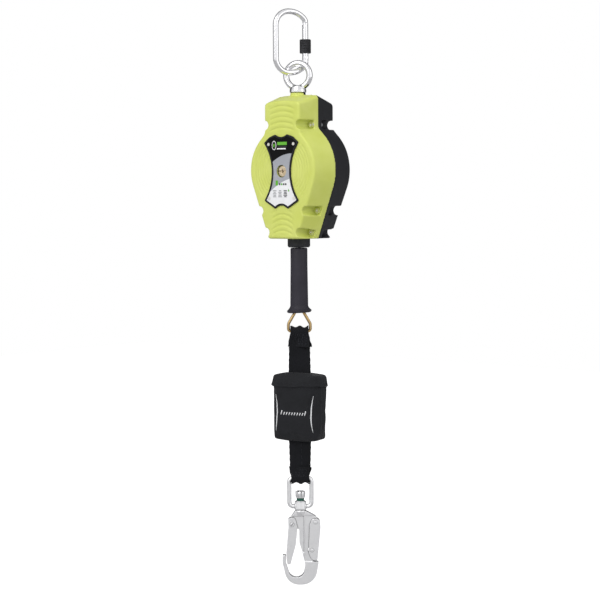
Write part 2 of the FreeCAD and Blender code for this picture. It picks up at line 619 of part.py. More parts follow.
def build_brake():
    rear = "ratchet_front + ratchet_thickness"
    node(ring_y("hub", [("shaft_radius", "0"), ("hub_radius", "0"), ("hub_radius", "11"),
                        ("lining_radius", "11"), ("lining_radius", "13"), ("shaft_radius", "13")],
                "ratchet_front + ratchet_thickness + lining_thickness - 11"), "brake_hub")
    linings = [flat_ring("lining_front", "hub_radius + 0.1", "lining_radius",
                         "ratchet_front - lining_thickness", "lining_thickness"),
               flat_ring("lining_rear", "hub_radius + 0.1", "lining_radius", rear, "lining_thickness")]
    node(group(*linings), "brake_linings")
    node(flat_ring("plate", "hub_radius + 0.1", "lining_radius",
                   "ratchet_front - lining_thickness - 2.2", "2.2"), "pressure_plate")
    stack = "ratchet_front - lining_thickness - 2.2"
    washers = []
    for step in range(2):
        washers.append(ring_y("disc_spring", [("shaft_radius + 0.2", "0"), ("15", "0.5"),
                                              ("15", "1.1"), ("shaft_radius + 0.2", "0.6")],
                              "%s - %g" % (stack, 1.15 + 1.15 * step)))
    node(group(*washers), "disc_springs")
    node(flat_ring("nut", "shaft_radius", "13", "%s - 5.7" % stack, "3.2"), "brake_nut")

    teeth = 12
    outer = number("ratchet_radius")
    points = []
    for step in range(teeth):
        angle = 2 * math.pi * step / teeth
        root = outer - number("tooth_depth")
        points.append(Vector(outer * math.cos(angle), outer * math.sin(angle), 0))
        points.append(Vector(root * math.cos(angle + 0.02), root * math.sin(angle + 0.02), 0))
    edges = [Part.LineSegment(points[index - 1], points[index]) for index in range(len(points))]
    wheel = padded("wheel", edges, "ratchet_thickness", (0, 0, "drum_level"), 0,
                   "-(ratchet_front + ratchet_thickness)", False)
    node(cut(wheel, along_y("ratchet_bore", -60, 60)), "ratchet_wheel")


PAWL_ANGLES = {"pawl_upper": 55, "pawl_lower": 235}


def build_pawls():
    """Two pawls on the drum's front flange, turned about their pins by the same shape."""
    level = number("drum_level")
    pins, springs = [], []
    for name, angle in PAWL_ANGLES.items():
        turn = math.radians(angle)
        radius = number("pawl_pivot_radius")
        x, z = radius * math.cos(turn), level + radius * math.sin(turn)
        edges = rounded([(-5.5, 5.5, 5), (-5.5, -5.5, 5), (7, -6.5, 1), (23, -11.5, 0.6),
                         (24, -9, 1.5), (12, 4.5, 3), (5, 5.5, 2)])
        pawl = padded(name + "_plate", edges, "pawl_thickness")
        pawl.Placement = Placement(Vector(x, number("ratchet_front") + 3, z),
                                   Rotation(Vector(0, 1, 0), 90 - angle))
        node(cut(pawl, along_y("pawl_pin_radius + 0.05", -40, 60, x, z)), name)
        pins.append(along_y("pawl_pin_radius", "ratchet_front - 1.5",
                            "drum_front - ratchet_front + 1.5", x, z))
        away = math.radians(angle + 14)
        springs.append(along_y(2.2, "drum_front - 4", 3.8, 55 * math.cos(away),
                               level + 55 * math.sin(away)))
    node(group(*pins), "pawl_pins")
    node(group(*springs), "pawl_spring_posts")


# ---------------------------------------------------------------- wire rope and line end
def build_rope():
    """The rope leaves the drum at a tangent, bends in the guide and drops down the Z axis."""
    level = number("drum_level")
    mouth = number("bottom_level")
    wound = number("winding_radius") + number("rope_radius") + 0.4
    bend = 46.0
    guide_top = mouth + 12
    start_angle = math.atan2(guide_top, 0) + math.acos(wound / abs(guide_top))
    start = Vector(wound * math.cos(start_angle), 0, level + wound * math.sin(start_angle))
    corner = Vector(0, 0, level + guide_top)
    end = Vector(0, 0, level + mouth + 2)
    first = (start - corner).normalize()
    half = first.getAngle(Vector(0, 0, -1)) / 2
    reach = min(bend / math.tan(half), 9.5)
    bend = reach * math.tan(half)
    middle = corner + (first + Vector(0, 0, -1)).normalize() * (bend / math.sin(half) - bend)
    arc = Part.Arc(corner + first * reach, middle, corner - Vector(0, 0, reach)).toShape()
    wire = Part.Wire([Part.makeLine(start - first * 2, corner + first * reach), arc,
                      Part.makeLine(corner - Vector(0, 0, reach), end)])
    section = Part.Wire(Part.makeCircle(number("rope_radius"), start - first * 2, first))
    item = doc.addObject("Part::Feature", "lead")
    item.Shape = wire.makePipeShell([section], True, False)
    place(item)
    node(item, "cable_lead")
    top = number("bottom_level") + 1.8
    drop = cylinder("rope_radius", top - number("thimble_level") - 20.4,
                    (0, 0, "drum_level + thimble_level + 20.4"))
    node(drop, "cable_run")


def build_line_end():
    line = "line_yaw"
    nozzle = turned("nozzle", [("guide_bore + 2.5", "0"), ("nozzle_radius - 2", "0"),
                               ("nozzle_radius", "2"), ("nozzle_radius", "nozzle_length - 0.3"),
                               ("guide_bore + 2.5", "nozzle_length - 0.3")],
                    (0, 0, "drum_level + bottom_level - nozzle_length"))
    node(nozzle, "nozzle_collar")
    node(turned("guide", [("guide_bore", "0"), ("guide_bore + 2.4", "0"), ("guide_bore + 2.4", "15"),
                          ("8", "15.2"), ("8", "19"), ("guide_bore + 3", "19"), ("guide_bore", "13")],
                (0, 0, "drum_level + bottom_level - nozzle_length")), "cable_guide")
    top = "drum_level + grip_top"
    node(turned("grip", [("guide_bore", "0"), ("grip_radius - 1.5", "0"), ("grip_radius - 0.5", "-1.5"),
                         ("grip_radius", "-grip_length"), ("grip_flange_radius", "-grip_length - 8"),
                         ("grip_flange_radius", "-grip_length - grip_flange"),
                         ("grip_flange_radius - 2.2", "-grip_length - grip_flange"),
                         ("grip_bore", "-grip_length + 8"), ("grip_bore", "-10"),
                         ("guide_bore", "-6")], (0, 0, top), line), "grip_sleeve")
    sleeve_at = (0, 0, "drum_level + thimble_level + 20")
    node(turned("ferrule", [("rope_radius", "0"), ("ferrule_radius + 1", "0"),
                            ("ferrule_radius", "6"), ("ferrule_radius", "ferrule_length"),
                            ("rope_radius", "ferrule_length")], sleeve_at, line), "cable_ferrule")
    turn_radius = number("thimble_radius") + 1.2 + number("rope_radius")
    eye = [(2.6, 19, 0), (turn_radius, 9, 9), (turn_radius, -turn_radius, turn_radius - 0.01),
           (-turn_radius, -turn_radius, turn_radius - 0.01), (-turn_radius, 9, 9), (-2.6, 19, 0)]
    across = number(line) + 90
    path = [Vector(x, 0, z) for x, z, _ in eye]
    edges = [edge.toShape() for edge in rounded(eye, False)]
    for edge in edges:
        edge.rotate(Vector(), Vector(1, 0, 0), 90)
    wire = Part.Wire(edges)
    begin = path[0]
    aim = (path[1] - path[0]).normalize()
    section = Part.Wire(Part.makeCircle(number("rope_radius"), begin, aim))
    loop = doc.addObject("Part::Feature", "loop")
    loop.Shape = wire.makePipeShell([section], True, False)
    place(loop, (0, 0, "drum_level + thimble_level"), across)
    node(loop, "cable_eye")
    thimble_yaw = Rotation(Vector(0, 0, 1), across).multVec(Vector(0, 1, 0))
    centre = Vector(0, 0, number("drum_level") + number("thimble_level"))
    node(turned("thimble", [("thimble_radius", "-2.6"), ("thimble_radius + 1.1", "-2.6"),
                            ("thimble_radius + 1.1", "2.6"), ("thimble_radius", "2.6")],
                tuple(centre), across, BOX_TURN), "thimble")

    half, rod = number("link_half_width"), "link_rod_radius"
    apex = number("link_apex_level")
    bar = number("link_bar_level")
    neck, neck_level, shoulder = 6.6, -236.5, -257
    route = [(half, shoulder, 9), (half, bar, 4.5), (-half, bar, 4.5), (-half, shoulder, 9),
             (-neck, neck_level, 8), (-neck, apex, 4.2), (neck, apex, 4.2), (neck, neck_level, 8)]
    start = [(half, (bar + shoulder) / 2, 0)] + route[1:] + route[:1]
    node(bent_rod("link", start, rod, True, (0, 0, "drum_level"), line), "absorber_link")


# ---------------------------------------------------------------- energy absorber
def strap(name, rod_level, rod_radius, end_level, flip):
    """A doubled strap round a bar, widening to its full width; flip is -1 below the bar."""
    thick = number("webbing_thick")
    inner = number(rod_radius) + 0.5
    outer = inner + thick
    gathered, wide = number("webbing_gathered"), number("webbing_wide")
    level = number("drum_level") + number(rod_level)
    tip = number("drum_level") + number(end_level)
    eye = cylinder(outer, gathered, (0, 0, 0))
    spin = Rotation(Vector(0, 0, 1), number("line_yaw"))
    side = spin.multVec(Vector(-gathered / 2, 0, 0))
    eye.Placement = Placement(side + Vector(0, 0, level), spin * Rotation(Vector(0, 1, 0), 90))
    body = doc.addObject("Part::Feature", name + "_tongue")
    sections = []
    neck = level + flip * (outer - 1)
    for height, width, deep, yaw in ((neck, gathered, 2 * thick, number("line_yaw")),
                                     (neck + flip * 20, wide - 2, 2 * thick, number("line_yaw") - 8),
                                     (tip, wide, 2 * thick, number("pouch_yaw"))):
        corner = Rotation(Vector(0, 0, 1), yaw)
        points = [corner.multVec(Vector(x * width / 2, y * deep / 2, 0)) + Vector(0, 0, height)
                  for x, y in ((-1, -1), (1, -1), (1, 1), (-1, 1), (-1, -1))]
        sections.append(Part.makePolygon(points))
    body.Shape = Part.makeLoft(sections, True, True)
    hole = cylinder(inner, 120, (0, 0, 0))
    far = spin.multVec(Vector(-60, 0, 0))
    hole.Placement = Placement(far + Vector(0, 0, level), spin * Rotation(Vector(0, 1, 0), 90))
    node(cut(fuse(eye, body), hole), name)


def build_absorber():
    strap("upper_webbing", "link_bar_level", "link_rod_radius", "pouch_top - 6", -1)
    strap("lower_webbing", "frame_top - frame_rod_radius", "frame_rod_radius",
          "pouch_top - pouch_height + 6", 1)
    bottom = "drum_level + pouch_top - pouch_height"
    width, deep = number("pouch_width"), number("pouch_depth")
    outline = rounded([(-width / 2, 0, 9), (width / 2, 0, 9),
                       (width / 2, number("pouch_height"), 9), (-width / 2, number("pouch_height"), 9)])
    outer = padded("pouch_outer", outline, "pouch_depth", (0, 0, bottom), "pouch_yaw")
    doc.recompute()
    pad = outer.Group[-1]
    rims = ["Edge%d" % (index + 1) for index, item in enumerate(pad.Shape.Edges)
            if all(abs(abs(vertex.Point.y) - deep / 2) < 0.01 for vertex in item.Vertexes)]
    softened = outer.newObject("PartDesign::Fillet", "pouch_rims")
    softened.Base = (pad, rims)
    bind(softened, Radius="pouch_round")
    wall = "pouch_wall"
    inner = box("pouch_width - 2 * pouch_wall - 7", "pouch_depth - 2 * pouch_wall - 2",
                "pouch_height - 2 * pouch_wall - 6",
                (0, 0, "drum_level + pouch_top - pouch_height + pouch_wall + 3"), "pouch_yaw")
    slots = box("webbing_wide + 4", "2 * webbing_thick + 2.4", "pouch_height + 20",
                (0, 0, "drum_level + pouch_top - pouch_height - 10"), "pouch_yaw")
    node(cut(outer, inner, slots), "absorber_pouch")
    node(box("webbing_wide + 10", "pouch_depth - 2 * pouch_wall - 2 - 2 * pack_gap",
             "pouch_height - 2 * pouch_wall - 14",
             (0, 0, "drum_level + pouch_top - pouch_height + pouch_wall + 7"), "pouch_yaw"),
         "absorber_pack")


# ---------------------------------------------------------------- hook swivel and snap hook
def build_hook_swivel():
    line = "line_yaw"
    half = number("frame_half_width")
    top = number("frame_top") - number("frame_rod_radius")
    foot = top - number("frame_height") + 2 * number("frame_rod_radius")
    route = [(half, (top + foot) / 2, 0), (half, foot, 7), (-half, foot, 7), (-half, top, 7),
             (half, top, 7)]
    wire = bent_rod("frame_wire", route, "frame_rod_radius", True, (0, 0, "drum_level"), line)
    centre = (0, 0, number("drum_level") + foot)
    hub = turned("frame_hub", [("0", "-5.5"), ("frame_hub_radius", "-5.5"),
                               ("frame_hub_radius + 1", "-3"), ("frame_hub_radius", "8"),
                               ("7.4", "10"), ("0", "10")], centre, line)
    bore = cylinder("hub_bore", 60, (0, 0, centre[2] - 30))
    node(cut(fuse(wire, hub), bore), "swivel_frame")
    node(turned("band", [("swivel_pin_radius", "0"), ("6.3", "0"), ("6.3", "3.8"),
                         ("swivel_pin_radius", "3.8")], (0, 0, centre[2] + 10.3), line),
         "load_indicator_band")
    node(turned("cap", [("swivel_pin_radius", "0"), ("cap_radius - 1.6", "0"), ("cap_radius", "1.6"),
                        ("cap_radius", "10"), ("cap_radius - 1.2", "12"), ("swivel_pin_radius", "12")],
                (0, 0, centre[2] + 14.4), line), "swivel_cap")


# points of the hook's own plane, with their heights below the drum's centre
GATE_PIVOT = (-14.3, -598.3)
LEVER_PIVOT = (25.4, -594.7)
LEVER_RIVET = (19.2, -642.4)


def build_hook():
    line, at = "line_yaw", (0, 0, "drum_level")
    outer = [(9, -575.5, 3), (26.5, -585, 6), (30, -600, 6), (20.2, -661.5, 1), (30.5, -663.5, 1.5),
             (24, -702, 26), (-22, -702, 24), (-31, -664, 8), (-30.8, -651, 2.6), (-25.2, -651, 2.4),
             (-25.2, -666, 5), (-17.5, -689.5, 13), (4, -689.5, 12), (8, -668, 14), (1, -640, 5),
             (-2, -630, 5), (-2, -606, 4), (-17.6, -606, 4), (-17.6, -588, 5), (-9, -575.5, 3)]
    blank = padded("hook_blank", rounded(outer), "hook_thickness", at, line)
    doc.recompute()
    collar = turned("hook_collar", [("0", "-9"), ("6", "-9"), ("8.6", "-7"), ("9.4", "-2"), ("9.2", "0"),
                                    ("0", "0")],
                    (0, 0, "drum_level - 574.6"), line)
    pin = cylinder("swivel_pin_radius", 41, (0, 0, "drum_level - 582"), line)
    gate_room = [local_slab(-24, -646, 6, -584, side, 4.4) for side in (-1, 1)]
    lever_room = [local_slab(7, -662.6, 45, -583, side, 5.8) for side in (-1, 1)]
    rivet_slot = local_box(9.6, 40, 7, 17.4, -645.9, line)
    holes = [hook_bore(x, z, 0.05) for x, z in (GATE_PIVOT, LEVER_PIVOT)]
    node(cut(fuse(blank, collar, pin), *gate_room, *lever_room, *holes, rivet_slot), "hook_body")


def hook_bore(x, z, clearance=0.0, length=30):
    """A cylinder across the hook's plane at a point of it."""
    spin = Rotation(Vector(0, 0, 1), number("line_yaw"))
    start = spin.multVec(Vector(x, length / 2, 0)) + Vector(0, 0, number("drum_level") + z)
    return cylinder("rivet_radius + %g" % clearance, length, tuple(start), "line_yaw", BOX_TURN)


def local_box(width, depth, tall, x, z, yaw):
    spin = Rotation(Vector(0, 0, 1), number(yaw))
    centre = spin.multVec(Vector(x, 0, 0)) + Vector(0, 0, number("drum_level") + z)
    return box(width, depth, tall, tuple(centre), yaw)


def local_slab(x_low, z_low, x_high, z_high, side, inner):
    """A block outside the hook's middle web, on one side of its plane."""
    spin = Rotation(Vector(0, 0, 1), number("line_yaw"))
    middle = Vector((x_low + x_high) / 2, side * (inner + 10), 0)
    centre = spin.multVec(middle) + Vector(0, 0, number("drum_level") + z_low)
    return box(x_high - x_low, 20, z_high - z_low, tuple(centre), "line_yaw")


def channel(name, outline, thickness, web, slot_edges, pivots):
    """A folded channel: two cheeks and one web, round the hook's middle."""
    at = (0, 0, "drum_level")
    solid = padded(name + "_block", rounded(outline), thickness, at, "line_yaw")
    inside = padded(name + "_space", rounded(slot_edges), "%s - 2 * %g" % (thickness, web), at, "line_yaw")
    holes = [hook_bore(x, z) for x, z in pivots]
    node(cut(solid, inside, *holes), name)


def build_hook_moving():
    gate = [(-21, -587, 5), (-9.5, -587, 5), (-5.5, -603, 4), (-8, -632, 3), (-17.5, -667, 2.5),
            (-22.8, -667, 2.5), (-24.5, -650, 0), (-20.6, -604, 0)]
    space = [(-18.6, -580, 0), (0, -580, 0), (0, -645, 0), (-16, -645, 0), (-18.4, -608, 0)]
    channel("hook_gate", gate, "hook_thickness + 1", 2.2, space, [GATE_PIVOT])
    lever = [(19.5, -588.5, 6), (32, -588.5, 6), (34, -603, 8), (28.4, -660, 2), (19, -660, 8),
             (13.5, -647, 8), (15.5, -600, 8)]
    room = [(0, -575, 0), (31.2, -575, 0), (31.2, -604, 0), (26.6, -670, 0), (0, -670, 0)]
    channel("hook_lock_lever", lever, "lever_thickness", 2, room, [LEVER_PIVOT, LEVER_RIVET])
    node(group(hook_bore(*GATE_PIVOT, 0, 15.4), hook_bore(*LEVER_PIVOT, 0, 18.6)), "hook_pivot_rivets")
    node(hook_bore(*LEVER_RIVET, 0, 18.6), "lever_rivet")


# ---------------------------------------------------------------- build and write
build_carabiner()
build_eye()
build_shell("front_shell", -1, "front_radius", "front_neck_half", "front_bottom_half", "front_depth")
build_shell("rear_shell", 1, "rear_radius", "rear_neck_half", "rear_bottom_half", "rear_depth")
build_fasteners()
build_label()
build_frame()
build_shaft()
build_drum()
build_power_spring()
build_brake()
build_pawls()
build_rope()
build_line_end()
build_absorber()
build_hook_swivel()
build_hook()
build_hook_moving()

doc.recompute()
failed = [item.Label for item in doc.Objects if "Invalid" in item.State or "Error" in item.State]
if failed:
    raise RuntimeError("features that did not compute: " + ", ".join(failed))
os.makedirs("parts", exist_ok=True)
for item in nodes:
    if item.Shape.isNull() or not item.Shape.isValid():
        raise RuntimeError("no valid shape: " + item.Label)
    item.Shape.exportStep("parts/%s.step" % item.Label)
print(len(nodes), "sub-parts written")
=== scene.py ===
"""The looks of a hanging self retracting lifeline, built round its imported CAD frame.

Everything is in metres in the frame's own axes: +Z up along the hanging line, -Y the lime front.
"""
import json
import math

import bmesh
import bpy
import numpy as np
from mathutils import Matrix, Vector, noise
from mathutils.bvhtree import BVHTree
from mathutils.kdtree import KDTree


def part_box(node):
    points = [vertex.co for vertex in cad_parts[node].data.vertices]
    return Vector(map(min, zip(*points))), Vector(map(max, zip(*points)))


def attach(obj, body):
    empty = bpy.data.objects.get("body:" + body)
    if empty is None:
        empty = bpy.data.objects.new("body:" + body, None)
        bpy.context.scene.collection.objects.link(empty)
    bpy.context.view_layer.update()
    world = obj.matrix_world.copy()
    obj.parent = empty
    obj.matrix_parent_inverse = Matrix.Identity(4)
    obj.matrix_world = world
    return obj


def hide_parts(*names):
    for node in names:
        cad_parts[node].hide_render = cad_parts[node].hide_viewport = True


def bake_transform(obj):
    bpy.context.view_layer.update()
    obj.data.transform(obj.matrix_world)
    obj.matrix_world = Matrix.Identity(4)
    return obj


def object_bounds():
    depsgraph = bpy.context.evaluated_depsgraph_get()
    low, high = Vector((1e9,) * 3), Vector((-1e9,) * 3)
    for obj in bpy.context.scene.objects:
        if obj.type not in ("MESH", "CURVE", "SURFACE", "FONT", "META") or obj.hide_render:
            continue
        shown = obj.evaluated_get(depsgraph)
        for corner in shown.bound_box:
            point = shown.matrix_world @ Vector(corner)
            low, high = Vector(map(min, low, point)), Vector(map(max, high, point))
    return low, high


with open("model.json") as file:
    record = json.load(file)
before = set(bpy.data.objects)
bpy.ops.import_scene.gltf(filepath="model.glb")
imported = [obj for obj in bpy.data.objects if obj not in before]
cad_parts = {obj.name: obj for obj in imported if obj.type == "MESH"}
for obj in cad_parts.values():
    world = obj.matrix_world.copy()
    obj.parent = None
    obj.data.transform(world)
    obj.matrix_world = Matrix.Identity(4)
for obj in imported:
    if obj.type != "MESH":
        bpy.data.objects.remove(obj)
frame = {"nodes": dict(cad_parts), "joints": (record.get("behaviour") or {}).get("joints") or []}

cad_low, cad_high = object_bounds()
nodes = frame["nodes"]
MM = 0.001


# ---------------------------------------------------------------- places read from the frame
def joint(name):
    return next(one for one in frame["joints"] if one["name"] == name)


def centre_of(node):
    low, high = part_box(node)
    return (low + high) / 2


def yaw_matrix(degrees, at=(0, 0, 0)):
    return Matrix.Translation(Vector(at)) @ Matrix.Rotation(math.radians(degrees), 4, "Z")


DRUM = centre_of("main_shaft").z
LINE_AXIS = Vector(joint("link_swing")["axis"])
LINE_YAW = math.degrees(math.atan2(LINE_AXIS.y, LINE_AXIS.x))
GATE_AXIS = Vector(joint("carabiner_gate_open")["axis"])
CARABINER_YAW = math.degrees(math.atan2(GATE_AXIS.x, -GATE_AXIS.y))
POUCH_YAW, EYE_YAW = 12, 20
FRONT_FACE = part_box("front_shell")[0].y
REAR_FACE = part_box("rear_shell")[1].y


# ---------------------------------------------------------------- mesh helpers
def add_object(name, data):
    made = bpy.data.objects.new(name, data)
    bpy.context.scene.collection.objects.link(made)
    return made


def from_lists(name, points, faces):
    mesh = bpy.data.meshes.new(name)
    mesh.from_pydata([tuple(p) for p in points], [], faces)
    mesh.validate()
    made = add_object(name, mesh)
    outward(made)
    return made


def outward(piece):
    """Merges doubled corners and turns every face outwards."""
    work = bmesh.new()
    work.from_mesh(piece.data)
    bmesh.ops.remove_doubles(work, verts=work.verts, dist=1e-6)
    bmesh.ops.recalc_face_normals(work, faces=work.faces)
    work.to_mesh(piece.data)
    work.free()


def copy_of(node, name):
    """A new piece with the CAD node's shape."""
    made = add_object(name, nodes[node].data.copy())
    outward(made)
    return made


def settle(piece):
    """Applies every modifier."""
    graph = bpy.context.evaluated_depsgraph_get()
    mesh = bpy.data.meshes.new_from_object(piece.evaluated_get(graph))
    piece.modifiers.clear()
    piece.data = mesh
    return piece


def modify(piece, kind, **settings):
    """Adds one modifier, which settle applies."""
    step = piece.modifiers.new(kind.lower(), kind)
    for key, value in settings.items():
        setattr(step, key, value)
    return step


def remeshed(piece, voxel, rounds):
    """Even quads all over, with every edge softened."""
    modify(piece, "REMESH", mode="VOXEL", voxel_size=voxel)
    modify(piece, "SMOOTH", factor=0.5, iterations=rounds)
    return settle(piece)


def smooth(piece, angle=None):
    """Smooth shading, with edges sharper than the angle kept crisp."""
    for face in piece.data.polygons:
        face.use_smooth = True
    if angle is not None:
        piece.data.set_sharp_from_angle(angle=math.radians(angle))
    return piece


def bevelled(piece, width, segments, angle=35):
    modify(piece, "BEVEL", width=width, segments=segments, limit_method="ANGLE",
           angle_limit=math.radians(angle))
    return settle(piece)


def boolean(piece, other, how):
    modify(piece, "BOOLEAN", operation=how, object=other, solver="EXACT")
    settle(piece)
    bpy.data.objects.remove(other)
    return piece


def corners(piece):
    return np.array([v.co for v in piece.data.vertices], float).reshape(-1, 3)


def set_corners(piece, points):
    piece.data.vertices.foreach_set("co", np.asarray(points, np.float32).ravel())
    piece.data.update()


def done(piece, body, material, replaces=(), angle=None, crisp=False):
    """Shading, material, slot and the body that the piece rides on."""
    if not crisp:
        smooth(piece, angle)
    piece.data.materials.clear()
    piece.data.materials.append(material)
    for face in piece.data.polygons:
        face.material_index = 0
    if replaces:
        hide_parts(*replaces)
    if body:
        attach(piece, body)
    return piece


def circle(count):
    """Evenly spaced angles round one turn."""
    return [2 * math.pi * step / count for step in range(count)]


def grid_faces(rows, columns, closed_rows=True, closed_columns=True):
    """Quads between neighbouring rows of points; rows that aren't closed get a face at each end."""
    faces = []
    for i in range(rows if closed_rows else rows - 1):
        for j in range(columns if closed_columns else columns - 1):
            a, b = i * columns, ((i + 1) % rows) * columns
            k = (j + 1) % columns
            faces.append((a + j, a + k, b + k, b + j))
    if not closed_rows:
        faces += [tuple(range(columns)), tuple(range((rows - 1) * columns, rows * columns))]
    return faces


def lathe(name, profile, turn=96, place=Matrix(), ring=True):
    """Profile points (radius, height) turned about Z: a ring, or from axis to axis."""
    points = []
    for angle in circle(turn):
        for radius, height in profile:
            points.append(place @ Vector((radius * math.cos(angle), radius * math.sin(angle), height)))
    return from_lists(name, points, grid_faces(turn, len(profile), closed_columns=ring))


def tube(name, path, radius, sides):
    """A round tube along path; radius is a number or a function of the share of the way."""
    path = [Vector(p) for p in path]
    count = len(path)
    points = []
    side = None
    for k, at in enumerate(path):
        ahead = path[min(k + 1, count - 1)]
        behind = path[max(k - 1, 0)]
        along = (ahead - behind).normalized()
        if side is None:
            side = along.orthogonal().normalized()
        side = (side - along * side.dot(along)).normalized()
        other = along.cross(side)
        size = radius(k / (count - 1)) if callable(radius) else radius
        for angle in circle(sides):
            points.append(at + side * (size * math.cos(angle)) + other * (size * math.sin(angle)))
    return from_lists(name, points, grid_faces(count, sides, False))


def joined(name, pieces):
    """One piece out of several separate solids."""
    work = bmesh.new()
    for one in pieces:
        work.from_mesh(one.data)
        bpy.data.objects.remove(one)
    mesh = bpy.data.meshes.new(name)
    work.to_mesh(mesh)
    work.free()
    return add_object(name, mesh)


def bend_path(knots, pace=0.4 * MM):
    """Points along straight runs and tangent arcs; knots are (x, y, radius), and 0 ends the path."""
    path = []
    for k, (x, y, radius) in enumerate(knots):
        here = Vector((x, y))
        if radius == 0:
            path.append(here)
            continue
        before = (Vector(knots[k - 1][:2]) - here).normalized()
        after = (Vector(knots[k + 1][:2]) - here).normalized()
        half = before.angle(after) / 2
        middle = here + (before + after).normalized() * radius / math.sin(half)
        start = here + before * radius / math.tan(half) - middle
        sweep = math.pi - 2 * half
        sweep *= 1 if before.x * after.y - before.y * after.x < 0 else -1
        steps = max(8, int(radius * abs(sweep) / pace))
        for step in range(steps + 1):
            angle = sweep * step / steps
            cos, sin = math.cos(angle), math.sin(angle)
            path.append(middle + Vector((start.x * cos - start.y * sin, start.x * sin + start.y * cos)))
    fine = []
    for first, last in zip(path, path[1:]):
        steps = max(1, int((last - first).length / pace))
        fine += [first.lerp(last, step / steps) for step in range(steps)]
    return fine + [path[-1]]


def trued(piece, path, radius, slack=0.35 * MM):
    """Puts every point that lies about radius from the path exactly there, so a bar is round."""
    tree = KDTree(len(path))
    for k, at in enumerate(path):
        tree.insert(at, k)
    tree.balance()
    last = len(path) - 1
    points = corners(piece)
    for k, at in enumerate(points):
        at = Vector(at)
        _, near, far = tree.find(at)
        if abs(far - radius) > slack:
            continue
        along = (path[min(near + 1, last)] - path[max(near - 1, 0)]).normalized()
        away = at - path[near]
        drop = along * away.dot(along)
        out = away - drop
        if out.length > radius / 2:
            points[k] = path[near] + drop + out.normalized() * radius
    set_corners(piece, points)


def eased(value, low, high):
    """0 below low, 1 above high, and a smooth step between."""
    share = np.clip((np.asarray(value, float) - low) / (high - low), 0, 1)
    return share * share * (3 - 2 * share)


# ---------------------------------------------------------------- materials
def colour4(rgb):
    return (*rgb, 1.0)


def linear(red, green, blue):
    """A colour given in the usual 0 to 255 steps."""
    dark_end, dark_slope = 10, 3294
    return tuple(((step / 255 + 0.055) / 1.055) ** 2.4 if step > dark_end else step / dark_slope
                 for step in (red, green, blue))


class Tree:
    """Short ways to add nodes to a material or a world."""

    def __init__(self, owner, **sockets):
        owner.use_nodes = True
        self.owner, self.tree = owner, owner.node_tree
        self.shader = self.tree.nodes.get("Principled BSDF")
        self.coordinates = self.add("ShaderNodeTexCoord").outputs
        self.place = self.coordinates["Object"]
        self.feed(self.shader, {name.replace("_", " "): value for name, value in sockets.items()})

    def feed(self, node, feeds):
        """Gives a node's inputs a value or another node's output."""
        for socket, value in feeds.items():
            if isinstance(value, bpy.types.NodeSocket):
                self.tree.links.new(value, node.inputs[socket])
            else:
                node.inputs[socket].default_value = value

    def add(self, kind, feeds=None, **settings):
        made = self.tree.nodes.new(kind)
        for key, value in settings.items():
            setattr(made, key, value)
        self.feed(made, feeds or {})
        return made

    def turned(self, degrees, stretch=(1, 1, 1)):
        """Object coordinates turned about Z and stretched."""
        feeds = {"Rotation": (0, 0, math.radians(-degrees)), "Scale": stretch, "Vector": self.place}
        return self.add("ShaderNodeMapping", feeds).outputs["Vector"]

    def noise(self, size, detail, rough=0.5, place=None):
        """Fractal noise whose blobs are about size metres."""
        feeds = {"Scale": 1 / size, "Detail": detail, "Roughness": rough, "Vector": place or self.place}
        return self.add("ShaderNodeTexNoise", feeds).outputs["Fac"]

    def cells(self, size):
        feeds = {"Scale": 1 / size, "Vector": self.place}
        return self.add("ShaderNodeTexVoronoi", feeds, feature="F1").outputs["Distance"]

    def wave(self, size, axis, place):
        """Slightly uneven bands, size metres apart."""
        gap_at_scale_one, wobble = 0.314, 0.4
        feeds = {"Scale": gap_at_scale_one / size, "Distortion": wobble, "Vector": place}
        return self.add("ShaderNodeTexWave", feeds, wave_type="BANDS", bands_direction=axis).outputs["Fac"]

    def spread(self, value, low, high, start=0.0, end=1.0):
        """Maps value from start..end to low..high."""
        feeds = {"From Min": start, "From Max": end, "To Min": low, "To Max": high, "Value": value}
        return self.add("ShaderNodeMapRange", feeds).outputs["Result"]

    def times(self, first, second):
        return self.add("ShaderNodeMath", {0: first, 1: second}, operation="MULTIPLY").outputs["Value"]

    def mix(self, share, first, second):
        """Blends two colours by share."""
        made = self.add("ShaderNodeMix", data_type="RGBA")
        first, second = (colour4(one) if isinstance(one, tuple) else one for one in (first, second))
        self.feed(made, {"Factor": share, "A": first, "B": second})
        return made.outputs["Result"]

    def cloudy(self, cloud, base, shade):
        """Two close colours that drift into each other."""
        return self.mix(self.spread(cloud, 0, 1, 0.3, 0.7), base, shade)

    def finish(self, tone, roughness, *layers):
        """Links colour, roughness and stacked height layers, each (value, depth in metres)."""
        normal = None
        for value, depth in layers:
            step = self.add("ShaderNodeBump", {"Distance": depth, "Height": value})
            if normal:
                self.feed(step, {"Normal": normal})
            normal = step.outputs["Normal"]
        self.feed(self.shader, {"Base Color": tone, "Roughness": roughness, "Normal": normal})
        return self.owner


def moulded(name, base, shade, roughness=(0.4, 0.55), grain=0.00035, wear=None, **sockets):
    """Moulded plastic or rubber: a fine spark-eroded grain, a faint colour drift and worn edges."""
    tree = Tree(bpy.data.materials.new(name), **sockets)
    tone = tree.cloudy(tree.noise(0.03, 4), linear(*base), linear(*shade))
    if wear:
        point = tree.add("ShaderNodeNewGeometry").outputs["Pointiness"]
        scuff = tree.times(tree.spread(point, 0, 1, 0.52, 0.62), tree.noise(0.004, 5, 0.7))
        tone = tree.mix(scuff, tone, linear(*wear))
    return tree.finish(tone, tree.spread(tree.noise(0.006, 4), *roughness),
                       (tree.cells(grain * 2), grain * 0.06), (tree.noise(grain, 2), grain * 0.1))


